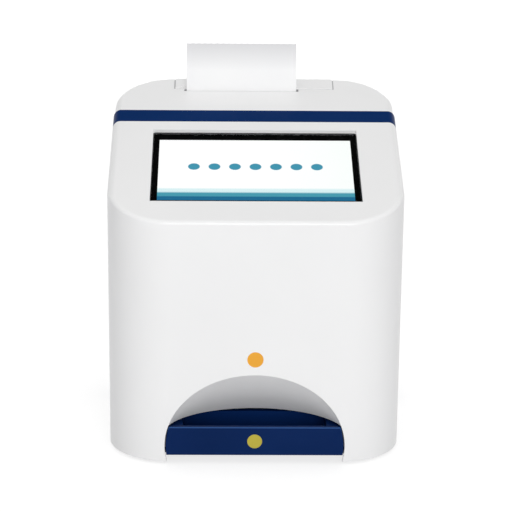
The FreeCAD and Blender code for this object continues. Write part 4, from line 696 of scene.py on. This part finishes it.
# %% [markdown]
# ## The display
#
# Behind the window lies a pane of glass whose underside is printed black round the lit area.
# Print and picture in the glass's own finish would look like paint on top of it, so they are
# thin sheets just inside its underside, seen through the glass.

# %% Sizes of the display
PANE_SIDE_GAP = 0.1 * MM
PANE_END_GAP = 0.05 * MM
LIT_HALF = 47.52 * MM
LIT_START = 22.0 * MM
LIT_END = 75.8 * MM
SHEET = 0.04 * MM
EASE = 0.25 * MM
PANE_CORNER = 1.0 * MM

glass_low, glass_high = slope_box("touch_glass")
PANE_HALF = glass_high.x - PANE_SIDE_GAP
PANE_START = glass_low.y + PANE_END_GAP
PANE_END = glass_high.y - PANE_END_GAP
SHEET_HEIGHT = glass_low.z + 2 * SHEET
print("pane", round(2 * PANE_HALF / MM, 2), "by", round((PANE_END - PANE_START) / MM, 2), "mm")

# %% [markdown]
# The pane is a sheet of glass with ground corners and a polished rim. A block gets its four
# upright edges rounded first, and the rim of its top after them, because the rim then runs
# round the finished corners in one line.


# %% Glass pane
def glass_pane():
    shape = block((-PANE_HALF, PANE_START, glass_low.z), (PANE_HALF, PANE_END, glass_high.z))
    upright = [edge for edge in shape.edges
               if abs(edge.verts[0].co.z - edge.verts[1].co.z) > EASE]
    ease(shape, PANE_CORNER, segments=4, edges=upright)
    top_rim = [edge for edge in shape.edges
               if all(vertex.co.z > glass_high.z - EASE / 2 for vertex in edge.verts)]
    ease(shape, EASE, edges=top_rim)
    return finish_piece("cover_glass", shape, display_glass, "root", slope_place)


cover_glass = glass_pane()
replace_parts(cover_glass, "touch_glass")

# %% [markdown]
# The black print is a flat frame. An inset gives the rectangle of the pane a smaller one, whose
# corners are moved to those of the lit area, and the middle is taken out. The ink is matt and
# gives no highlights, so only the glass above it shines.


# %% Black print round the lit area
def printed_border(material):
    middle = (PANE_START + PANE_END) / 2
    shape = flat_grid(2 * PANE_HALF - 2 * EASE, PANE_END - PANE_START - 2 * EASE,
                      (0, middle, SHEET_HEIGHT))
    bmesh.ops.inset_individual(shape, faces=shape.faces[:], thickness=EASE)
    inner = min(shape.faces, key=lambda face: sum(abs(vertex.co.x) for vertex in face.verts))
    for vertex in inner.verts:
        vertex.co.x = math.copysign(LIT_HALF, vertex.co.x)
        vertex.co.y = LIT_START if vertex.co.y < middle else LIT_END
    bmesh.ops.delete(shape, geom=[inner], context="FACES")
    bmesh.ops.solidify(shape, geom=shape.faces, thickness=SHEET)
    return finish_piece("printed_border", shape, material, "root", slope_place)


border_ink = moulded("border_ink", srgb(7, 7, 8), srgb(10, 10, 11), 0.6, Specular_IOR_Level=0.0)
printed_border(border_ink)

# %% [markdown]
# The screen shows a plain picture: white, with a row of round marks in the middle and level
# teal bars at the foot. It is drawn by masks on the sheet's UV map, which runs from 0 to 1
# across and up, so it stays sharp at any size.

# %% Masks for the picture
BAR_CORE = 0.72
DOT_OUTSIDE = 1.08
DOT_INSIDE = 0.95


def bar(tree, up, middle, half_height):
    """A mask for a level bar, soft at its edges."""
    distance = maths(tree, "ABSOLUTE", maths(tree, "SUBTRACT", up, middle))
    return remap(tree, distance, half_height, half_height * BAR_CORE)


def dot_row(tree, across, up, count, middle, half_length, height, radius):
    """A mask for a row of round dots: the row is folded, so that one dot makes them all."""
    half_cell = half_length / count
    folded = maths(tree, "PINGPONG", maths(tree, "ADD", across, half_length - middle), half_cell)
    flat = add(tree, "ShaderNodeCombineXYZ")
    join(tree, maths(tree, "SUBTRACT", half_cell, folded), flat.inputs["X"])
    rise = maths(tree, "SUBTRACT", up, height)
    join(tree, maths(tree, "MULTIPLY", rise, (LIT_END - LIT_START) / (2 * LIT_HALF)),
         flat.inputs["Y"])
    length = add(tree, "ShaderNodeVectorMath", operation="LENGTH")
    join(tree, flat.outputs["Vector"], length.inputs[0])
    dot = remap(tree, length.outputs["Value"], radius * DOT_OUTSIDE, radius * DOT_INSIDE)
    side = maths(tree, "ABSOLUTE", maths(tree, "SUBTRACT", across, middle))
    return maths(tree, "MULTIPLY", dot, maths(tree, "LESS_THAN", side, half_length))


print("masks ready")

# %% [markdown]
# A lit panel gives light instead of reflecting it, so the picture feeds the emission and the
# base colour is nearly black. The bars are laid over the white one by one, darker downwards,
# and the row of marks comes last.

# %% Screen picture
GLOW = 1.07
BARS = ((0.105, 0.1, srgb(214, 238, 240)),
        (0.05, 0.09, srgb(70, 152, 172)),
        (0.02, 0.05, srgb(30, 104, 142)))


def make_screen():
    material, tree, shader, place = start_material(
        "screen_picture", Base_Color=(0.01, 0.01, 0.01, 1), Emission_Strength=GLOW,
        Roughness=0.6, Specular_IOR_Level=0.0)
    uv = place.node.outputs["UV"]
    across, up = component(tree, uv, "X"), component(tree, uv, "Y")
    colour = ramp(tree, across, 0.55, 1.0, srgb(254, 254, 254), srgb(247, 251, 249))
    for middle, half_height, tone in BARS:
        colour = layer(tree, colour, bar(tree, up, middle, half_height), tone)
    dots = dot_row(tree, across, up, count=7, middle=0.5, half_length=0.37, height=0.55,
                   radius=0.03)
    join(tree, layer(tree, colour, dots, srgb(64, 146, 172)), shader.inputs["Emission Color"])
    return material


screen_picture = make_screen()
print("finish", screen_picture.name)

# %% [markdown]
# The picture needs a sheet to lie on: a rectangle of the lit area with a little thickness, at
# the height of the print. Its UV map is worked out from the place of each corner.


# %% Screen sheet
def screen_sheet():
    shape = flat_grid(2 * LIT_HALF, LIT_END - LIT_START,
                      (0, (LIT_START + LIT_END) / 2, SHEET_HEIGHT))
    bmesh.ops.solidify(shape, geom=shape.faces, thickness=SHEET)
    uv = shape.loops.layers.uv.new("picture")
    for face in shape.faces:
        for loop in face.loops:
            place = loop.vert.co
            loop[uv].uv = (place.x / (2 * LIT_HALF) + 0.5,
                           (place.y - LIT_START) / (LIT_END - LIT_START))
    return finish_piece("screen_sheet", shape, screen_picture, "root", slope_place)


screen_sheet()

# %% [markdown]
# ## The paper strip
#
# The printout stands up out of the slot and curls to the back. A cloth simulation could drape
# it, but stiff paper keeps one smooth curl, so a flat grid is drawn up to where the curl starts
# and its top edge is spun about the curl's axis. The last row is moved by the tear bar's teeth
# before the sheet gets its thickness.

# %% Paper strip
CURL_RADIUS = 24 * MM
CURL_ANGLE = math.radians(55)
CURL_STEPS = 24
PAPER_ROWS = 12
TOOTH_PITCH = 1.6 * MM
TOOTH_DEPTH = 0.2 * MM
PAPER_THICKNESS = 0.12 * MM
SAME_PLACE = 0.001 * MM


def printed_strip():
    low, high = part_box("paper_strip")
    plane = low.y + PAPER_THICKNESS
    curl_start = high.z - (CURL_RADIUS + PAPER_THICKNESS) * math.sin(CURL_ANGLE)
    count = 2 * round((high.x - low.x) / TOOTH_PITCH / 2)
    shape = flat_grid(high.x - low.x, curl_start - low.z, across=count, along=PAPER_ROWS)
    bmesh.ops.rotate(shape, matrix=Matrix.Rotation(QUARTER_TURN, 3, "X"), verts=shape.verts)
    bmesh.ops.translate(shape, vec=((low.x + high.x) / 2, plane, (low.z + curl_start) / 2),
                        verts=shape.verts)
    top = [edge for edge in shape.edges
           if all(vertex.co.z > curl_start - SAME_PLACE for vertex in edge.verts)]
    spun = bmesh.ops.spin(shape, geom=top, cent=(0, plane + CURL_RADIUS, curl_start),
                          axis=(1, 0, 0), dvec=(0, 0, 0), angle=-CURL_ANGLE, steps=CURL_STEPS,
                          use_duplicate=False, use_merge=False)
    along = Vector((0, math.sin(CURL_ANGLE), math.cos(CURL_ANGLE)))
    torn = sorted(vertices_of(spun["geom_last"]), key=lambda vertex: vertex.co.x)
    for vertex in torn[1::2]:
        vertex.co -= along * TOOTH_DEPTH
    bmesh.ops.remove_doubles(shape, verts=shape.verts, dist=SAME_PLACE)
    bmesh.ops.recalc_face_normals(shape, faces=shape.faces)
    bmesh.ops.solidify(shape, geom=shape.faces, thickness=PAPER_THICKNESS)
    piece = finish_piece("printed_strip", shape, paper, "root", angle=50)
    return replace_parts(piece, "paper_strip")


printed_strip()

# %% [markdown]
# ## The plain markers
#
# Two small round dots of coloured film are stuck on the front and on the drawer. They could be
# painted into the plastic's colour, but film has an edge that catches light, so each is a thin
# disc with an eased rim.

# %% Marker film
FILM = 0.04 * MM
FRONT_DOT_HEIGHT = 54.2 * MM
FRONT_DOT_RADIUS = 3.9 * MM
DRAWER_DOT_HEIGHT = 11.9 * MM
DRAWER_DOT_RADIUS = 3.6 * MM
amber_film = moulded("amber_film", srgb(240, 172, 40), srgb(232, 160, 34), 0.4)
olive_film = moulded("olive_film", srgb(190, 176, 52), srgb(180, 166, 48), 0.4)


def marker(name, height, radius, face_y, material, body):
    shape = bmesh.new()
    bmesh.ops.create_circle(shape, cap_ends=True, segments=64, radius=radius)
    raised = bmesh.ops.extrude_face_region(shape, geom=shape.faces[:])
    bmesh.ops.translate(shape, vec=(0, 0, FILM), verts=vertices_of(raised["geom"]))
    rim = [edge for edge in shape.edges if all(vertex.co.z > FILM / 2 for vertex in edge.verts)]
    ease(shape, FILM / 4, segments=1, edges=rim)
    place = (Matrix.Translation((0, face_y + FILM / 2, height))
             @ Matrix.Rotation(QUARTER_TURN, 4, "X"))
    return finish_piece(name, shape, material, body, place)


marker("front_marker", FRONT_DOT_HEIGHT, FRONT_DOT_RADIUS, front_low.y, amber_film, "root")
marker("drawer_marker", DRAWER_DOT_HEIGHT, DRAWER_DOT_RADIUS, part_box("drawer_tray")[0].y,
       olive_film, "drawer")

# %% [markdown]
# ## The shade strip round the lid
#
# A thin grey strip sits in the joint round the lid as painted shade. It stands where the gap would
# show only its own shadow, so the joint reads as a dark line. It is a line of edges in the shape of
# a U in the middle of the gap, pulled down to a wall that then gets its thickness. Three blocks
# would leave seams in the corners.

# %% Shade strip round the lid
LID_GAP = 0.6 * MM
LID_START = 122.0 * MM
SHADE_STRIP_HALF = slope_box("printer_lid")[1].x + LID_GAP / 2
SHADE_STRIP_FRONT = LID_START - LID_GAP / 2
SHADE_STRIP_BACK = 131.0 * MM
SHADE_STRIP_TOP = -0.3 * MM
SHADE_STRIP_DEPTH = 1.2 * MM
SHADE_STRIP_WIDTH = 0.5 * MM
# Painted shade: the strip's grey stands in for the shadow in the lid's joint.
gap_shade_grey = moulded("gap_shade_grey", srgb(178, 178, 180), srgb(190, 190, 191), 0.9, grain_depth=4e-5,
                    grain_scale=1500, Specular_IOR_Level=0.1)


def gap_shade_strip():
    shape = bmesh.new()
    places = ((-SHADE_STRIP_HALF, SHADE_STRIP_BACK), (-SHADE_STRIP_HALF, SHADE_STRIP_FRONT),
              (SHADE_STRIP_HALF, SHADE_STRIP_FRONT), (SHADE_STRIP_HALF, SHADE_STRIP_BACK))
    corners = [shape.verts.new((x, y, SHADE_STRIP_TOP)) for x, y in places]
    line = [shape.edges.new(pair) for pair in zip(corners, corners[1:])]
    pulled = bmesh.ops.extrude_edge_only(shape, edges=line)
    bmesh.ops.translate(shape, vec=(0, 0, -SHADE_STRIP_DEPTH), verts=vertices_of(pulled["geom"]))
    bmesh.ops.recalc_face_normals(shape, faces=shape.faces)
    bmesh.ops.solidify(shape, geom=shape.faces[:], thickness=SHADE_STRIP_WIDTH)
    front = min(vertex.co.y for vertex in shape.verts)
    side = max(vertex.co.x for vertex in shape.verts)
    bmesh.ops.translate(shape, vec=(0, SHADE_STRIP_FRONT - SHADE_STRIP_WIDTH / 2 - front, 0), verts=shape.verts)
    bmesh.ops.scale(shape, vec=(SHADE_STRIP_HALF / (side - SHADE_STRIP_WIDTH / 2), 1, 1), verts=shape.verts)
    return finish_piece("lid_gap_shade_strip", shape, gap_shade_grey, "lid", slope_place)


gap_shade_strip()

# %% [markdown]
# ## The drawer's front
#
# A painted highlight: the drawer's top front edge gets a lighter blue where it turns up and
# forward, as a rounded edge catches light. An attribute on the piece says where, and a layer in the
# finish reads it, so the highlight follows the edge and not a pattern in space.


# %% A painted highlight on marked edges
def paint_edge_highlight(material, colour, name="painted_edge_highlight"):
    tree = material.node_tree
    target = tree.nodes["Principled BSDF"].inputs["Base Color"]
    below = target.links[0].from_socket
    mark = add(tree, "ShaderNodeAttribute", attribute_name=name)
    join(tree, layer(tree, below, mark.outputs["Fac"], colour), target)


# Painted highlight: a lighter blue along the drawer's top front edge.
paint_edge_highlight(drawer_blue, srgb(46, 80, 134))
print("drawer edges lightened")

# %% [markdown]
# A merged copy of the CAD tray gets its front edges rounded, as a mould leaves them, which catches
# a thin line of light along the top, and takes the place of the node. The faces that turn up and
# forward are also marked for the painted highlight. Flat faces are dissolved first, because a bevel
# needs whole faces and not triangles.

# %% Drawer with eased front edges
EASED = 0.45 * MM
SAME_PLANE = math.radians(0.5)
SHARP_CORNER = math.radians(40)
CATCHES_LIGHT = 0.2


def eased_tray():
    shape = bmesh.new()
    shape.from_mesh(frame["nodes"]["drawer_tray"].data)
    bmesh.ops.remove_doubles(shape, verts=shape.verts, dist=SAME_PLACE)
    bmesh.ops.dissolve_limit(shape, angle_limit=SAME_PLANE, verts=shape.verts, edges=shape.edges)
    front = min(vertex.co.y for vertex in shape.verts)
    rim = [edge for edge in shape.edges
           if len(edge.link_faces) == 2 and edge.calc_face_angle_signed() > SHARP_CORNER
           and all(vertex.co.y < front + EASED / 10 for vertex in edge.verts)]
    ease(shape, EASED, segments=3, edges=rim)
    shape.normal_update()
    # Faces that turn up and forward are marked for the painted highlight.
    marks = shape.loops.layers.color.new("painted_edge_highlight")
    for face in shape.faces:
        caught = face.normal.z > CATCHES_LIGHT and face.normal.y < -CATCHES_LIGHT
        for loop in face.loops:
            loop[marks] = (caught, caught, caught, 1)
    open_edges = sum(1 for edge in shape.edges if not edge.is_manifold)
    print("drawer front edges rounded:", len(rim), "open edges:", open_edges)
    piece = finish_piece("drawer_front", shape, drawer_blue, "drawer")
    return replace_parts(piece, "drawer_tray")


eased_tray()

# %% [markdown]
# ## The sockets
#
# Sockets are full of small blocks in rows: tongues, contacts, springs and steps. One helper
# makes a row by moving copies of the same eased block, so that all in a row are alike and the
# row is one piece.


# %% Rows of alike blocks
def copies(size, places, easing, tilt=0.0):
    """Eased blocks of one size at several places, turned about X, in one bmesh."""
    shape = bmesh.new()
    for place in places:
        one = block([-side / 2 for side in size], [side / 2 for side in size])
        ease(one, easing)
        bmesh.ops.transform(one, verts=one.verts, matrix=Matrix.Translation(place)
                            @ Matrix.Rotation(tilt, 4, "X"))
        part = bpy.data.meshes.new("one_block")
        one.to_mesh(part)
        one.free()
        shape.from_mesh(part)
        bpy.data.meshes.remove(part)
    return shape


print("rows ready")

# %% [markdown]
# The two sockets for memory sticks each hold a tongue with four brass contacts under it, in
# front of a dark back wall. Without them the metal shells would look like empty boxes. Places
# are counted from the mouth and the top of the shells.

# %% Sockets for memory sticks
SHELL_HALF = 6.6 * MM
TONGUE_SIZE = (10.8 * MM, 7.6 * MM, 1.7 * MM)
TONGUE_IN = 5.0 * MM
TONGUE_DOWN = 2.1 * MM
CONTACT_SIZE = (1.0 * MM, 6.6 * MM, 0.16 * MM)
CONTACT_OFFSETS = (-3.5 * MM, -1.0 * MM, 1.0 * MM, 3.5 * MM)
CONTACT_DOWN = 0.9 * MM
WALL_SIZE = (11.9 * MM, 0.2 * MM, 4.5 * MM)
WALL_IN = 8.85 * MM

usb_low, usb_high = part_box("usb_ports")
usb_middles = (usb_low.x + SHELL_HALF, usb_high.x - SHELL_HALF)
tongue_places = [(x, usb_high.y - TONGUE_IN, usb_high.z - TONGUE_DOWN) for x in usb_middles]
contact_places = [(x + offset, y, z - CONTACT_DOWN) for x, y, z in tongue_places
                  for offset in CONTACT_OFFSETS]
wall_places = [(x, usb_high.y - WALL_IN, (usb_low.z + usb_high.z) / 2) for x in usb_middles]
finish_piece("socket_tongues", copies(TONGUE_SIZE, tongue_places, 0.2 * MM), rail_plastic, "root")
finish_piece("socket_contacts", copies(CONTACT_SIZE, contact_places, 0.04 * MM), brass, "root")
finish_piece("socket_walls", copies(WALL_SIZE, wall_places, 0.05 * MM), socket_plastic, "root")

# %% [markdown]
# The network socket has eight spring contacts that slope down from its roof, and two steps in
# its floor that guide the plug's latch. The steps leave the middle of the opening free.

# %% Network socket
SPRING_COUNT = 8
SPRING_PITCH = 1.02 * MM
SPRING_SIZE = (0.42 * MM, 6.4 * MM, 0.3 * MM)
SPRING_DOWN = 3.5 * MM
SPRING_TILT = math.radians(20)
STEP_SIZE = (2.8 * MM, 8.6 * MM, 1.9 * MM)
STEP_ASIDE = 4.55 * MM
STEP_UP = 3.0 * MM
PORT_IN = 4.6 * MM

port_low, port_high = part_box("data_port")
port_middle = (port_low.x + port_high.x) / 2
port_depth = port_high.y - PORT_IN
spring_places = [(port_middle + (index - (SPRING_COUNT - 1) / 2) * SPRING_PITCH, port_depth,
                  port_high.z - SPRING_DOWN) for index in range(SPRING_COUNT)]
step_places = [(port_middle + side * STEP_ASIDE, port_depth, port_low.z + STEP_UP)
               for side in (-1, 1)]
finish_piece("port_springs", copies(SPRING_SIZE, spring_places, 0.08 * MM, tilt=SPRING_TILT),
             brass, "root")
finish_piece("port_steps", copies(STEP_SIZE, step_places, 0.15 * MM), socket_plastic, "root")

# %% [markdown]
# ## The rocker's marks
#
# The rocker carries the usual two marks, a ring for off and a line for on. Both are thin films
# on its sloping face, so they are made flat round the middle of that face and one matrix lays
# them on it. They ride on the rocker and tip with it.

# %% Place and sizes of the marks
ROCKER_TILT = math.radians(7)
ROCKER_FACE_Y = 61.975 * MM
ROCKER_FACE_Z = 25.615 * MM
MARK_RADIUS = 1.15 * MM
MARK_LINE = 0.34 * MM
MARK_FILM = 0.06 * MM
MARK_OFFSET = 3.0 * MM

rocker_low, rocker_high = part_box("power_rocker")
rocker_middle = Vector(((rocker_low.x + rocker_high.x) / 2, ROCKER_FACE_Y, ROCKER_FACE_Z))
rocker_place = (Matrix.Translation(rocker_middle)
                @ Matrix.Rotation(ROCKER_TILT - QUARTER_TURN, 4, "X"))
mark_white = moulded("mark_white", srgb(226, 226, 224), srgb(216, 216, 214), 0.5)
print("marks lie", round((rocker_high.y - ROCKER_FACE_Y) / MM, 2), "mm in from the rocker's back")

# %% [markdown]
# The ring is a small rectangle spun a full turn about the ring's middle. The first rectangle's
# face goes before the spin, or it would stay inside the ring as a wall.


# %% Ring for off
def off_ring():
    shape = flat_grid(MARK_LINE, MARK_FILM)
    bmesh.ops.rotate(shape, matrix=Matrix.Rotation(QUARTER_TURN, 3, "X"), verts=shape.verts)
    bmesh.ops.translate(shape, vec=(MARK_RADIUS - MARK_LINE / 2, 0, 0), verts=shape.verts)
    bmesh.ops.delete(shape, geom=shape.faces[:], context="FACES_ONLY")
    bmesh.ops.spin(shape, geom=shape.verts[:] + shape.edges[:], axis=(0, 0, 1), cent=(0, 0, 0),
                   dvec=(0, 0, 0), angle=math.tau, steps=32, use_merge=True, use_duplicate=False)
    bmesh.ops.remove_doubles(shape, verts=shape.verts, dist=SAME_PLACE / 10)
    bmesh.ops.translate(shape, vec=(0, -MARK_OFFSET, 0), verts=shape.verts)
    return finish_piece("off_ring", shape, mark_white, "rocker", rocker_place)


off_ring()

# %% [markdown]
# The line is a block as thin as the ring and as long as the ring is wide, with its edges just
# broken, because film is cut and not moulded.


# %% Line for on
def on_line():
    shape = block((-MARK_LINE / 2, MARK_OFFSET - MARK_RADIUS, -MARK_FILM / 2),
                  (MARK_LINE / 2, MARK_OFFSET + MARK_RADIUS, MARK_FILM / 2))
    ease(shape, MARK_FILM / 4, segments=1)
    return finish_piece("on_line", shape, mark_white, "rocker", rocker_place)


on_line()

# %% [markdown]
# ## Studio
#
# The photograph was cut out on white. The floor shows the camera plain white with a soft
# shadow, and yet gives the object less light from below, so that the scoop reads grey. Light
# Path tells the rays that see the floor, also in mirrors and through glass, from those that
# only carry light, and each kind gets its own shader.

# %% Floor finish
SEEN_GLOW = 0.74
SEEN_GREY = (0.34, 0.34, 0.34, 1)
LIGHT_GREY = (0.62, 0.62, 0.63, 1)


def seeing_rays(tree):
    """1 for rays of the camera, of mirrors and through glass, and 0 for rays that carry light."""
    rays = add(tree, "ShaderNodeLightPath")
    seen = maths(tree, "MAXIMUM", rays.outputs["Is Camera Ray"], rays.outputs["Is Glossy Ray"])
    return maths(tree, "MAXIMUM", seen, rays.outputs["Is Transmission Ray"])


def make_floor():
    material = bpy.data.materials.new("studio_floor")
    material.use_nodes = True
    tree = material.node_tree
    tree.nodes.remove(tree.nodes["Principled BSDF"])
    shown = add(tree, "ShaderNodeAddShader")
    join(tree, add(tree, "ShaderNodeEmission", Strength=SEEN_GLOW).outputs["Emission"],
         shown.inputs[0])
    join(tree, add(tree, "ShaderNodeBsdfDiffuse", Color=SEEN_GREY).outputs["BSDF"], shown.inputs[1])
    both = add(tree, "ShaderNodeMixShader")
    join(tree, seeing_rays(tree), both.inputs["Fac"])
    join(tree, add(tree, "ShaderNodeBsdfDiffuse", Color=LIGHT_GREY).outputs["BSDF"], both.inputs[1])
    join(tree, shown.outputs["Shader"], both.inputs[2])
    join(tree, both.outputs["Shader"], tree.nodes["Material Output"].inputs["Surface"])
    return material


floor_finish = make_floor()
print("finish", floor_finish.name)

# %% [markdown]
# The floor is one large plate a hair under the resting surface, so that it and the feet don't
# flicker where they meet.

# %% Floor plate
FLOOR_SIZE = 6.0
FLOOR_DOWN = 0.1 * MM
floor_shape = flat_grid(FLOOR_SIZE, FLOOR_SIZE, (0, 0, -FLOOR_DOWN), across=8, along=8)
plate = make_object("studio_floor", floor_shape, floor_finish)
print("floor laid", plate.name)

# %% [markdown]
# The world is a pale room that lights the object from overhead and hardly from the horizon.
# The camera, mirrors and glass see it white at eye level under a dim ceiling, so that dark
# gloss stays dark and the paper shows as a light patch in front of the slot. Both tones follow
# the height of the ray's direction.

# %% World
world = bpy.data.worlds.new("studio_room")
bpy.context.scene.world = world
world.use_nodes = True
room = world.node_tree
room.nodes.clear()


def background(start, end, low_tone, high_tone):
    """A white background whose strength goes with the ray's height."""
    height = component(room, add(room, "ShaderNodeTexCoord").outputs["Generated"], "Z")
    made = add(room, "ShaderNodeBackground", Color=(1, 1, 1, 1))
    join(room, remap(room, height, start, end, low_tone, high_tone), made.inputs["Strength"])
    return made.outputs["Background"]


room_mix = add(room, "ShaderNodeMixShader")
join(room, seeing_rays(room), room_mix.inputs["Fac"])
join(room, background(0.0, 1.0, low_tone=0.048, high_tone=1.096), room_mix.inputs[1])
join(room, background(0.3, 0.62, low_tone=1.0, high_tone=0.04), room_mix.inputs[2])
room_output = add(room, "ShaderNodeOutputWorld")
join(room, room_mix.outputs["Shader"], room_output.inputs["Surface"])
print("world ready")

# %% [markdown]
# One large softbox stands low in front, a little to the right, and gives the front its light.
# The rounded corners turn away from it, which shades them as the photograph does, the left
# more. A weaker one behind keeps the back from going dull; the front never sees it.

# %% Softboxes
SOFTBOX_DISTANCE = 2.0
SOFTBOX_SIZE = 1.0


def softbox(name, azimuth, height, power):
    """A square lamp aimed at the object, from an angle round it and a height angle."""
    light = bpy.data.lights.new(name, "AREA")
    light.shape = "SQUARE"
    light.size = SOFTBOX_SIZE
    light.energy = power
    lamp_object = bpy.data.objects.new(name, light)
    bpy.context.collection.objects.link(lamp_object)
    azimuth, height = math.radians(azimuth), math.radians(height)
    towards = Vector((math.sin(azimuth) * math.cos(height), -math.cos(azimuth) * math.cos(height),
                      math.sin(height)))
    place = (cad_box[0] + cad_box[1]) / 2 + towards * SOFTBOX_DISTANCE
    lamp_object.matrix_world = Matrix.LocRotScale(place, towards.to_track_quat("Z", "Y"), None)
    print(name, power, "W")


softbox("front_softbox", azimuth=5, height=14, power=18.9)
softbox("rear_softbox", azimuth=178, height=11, power=9)
bpy.context.scene.view_settings.view_transform = "Standard"
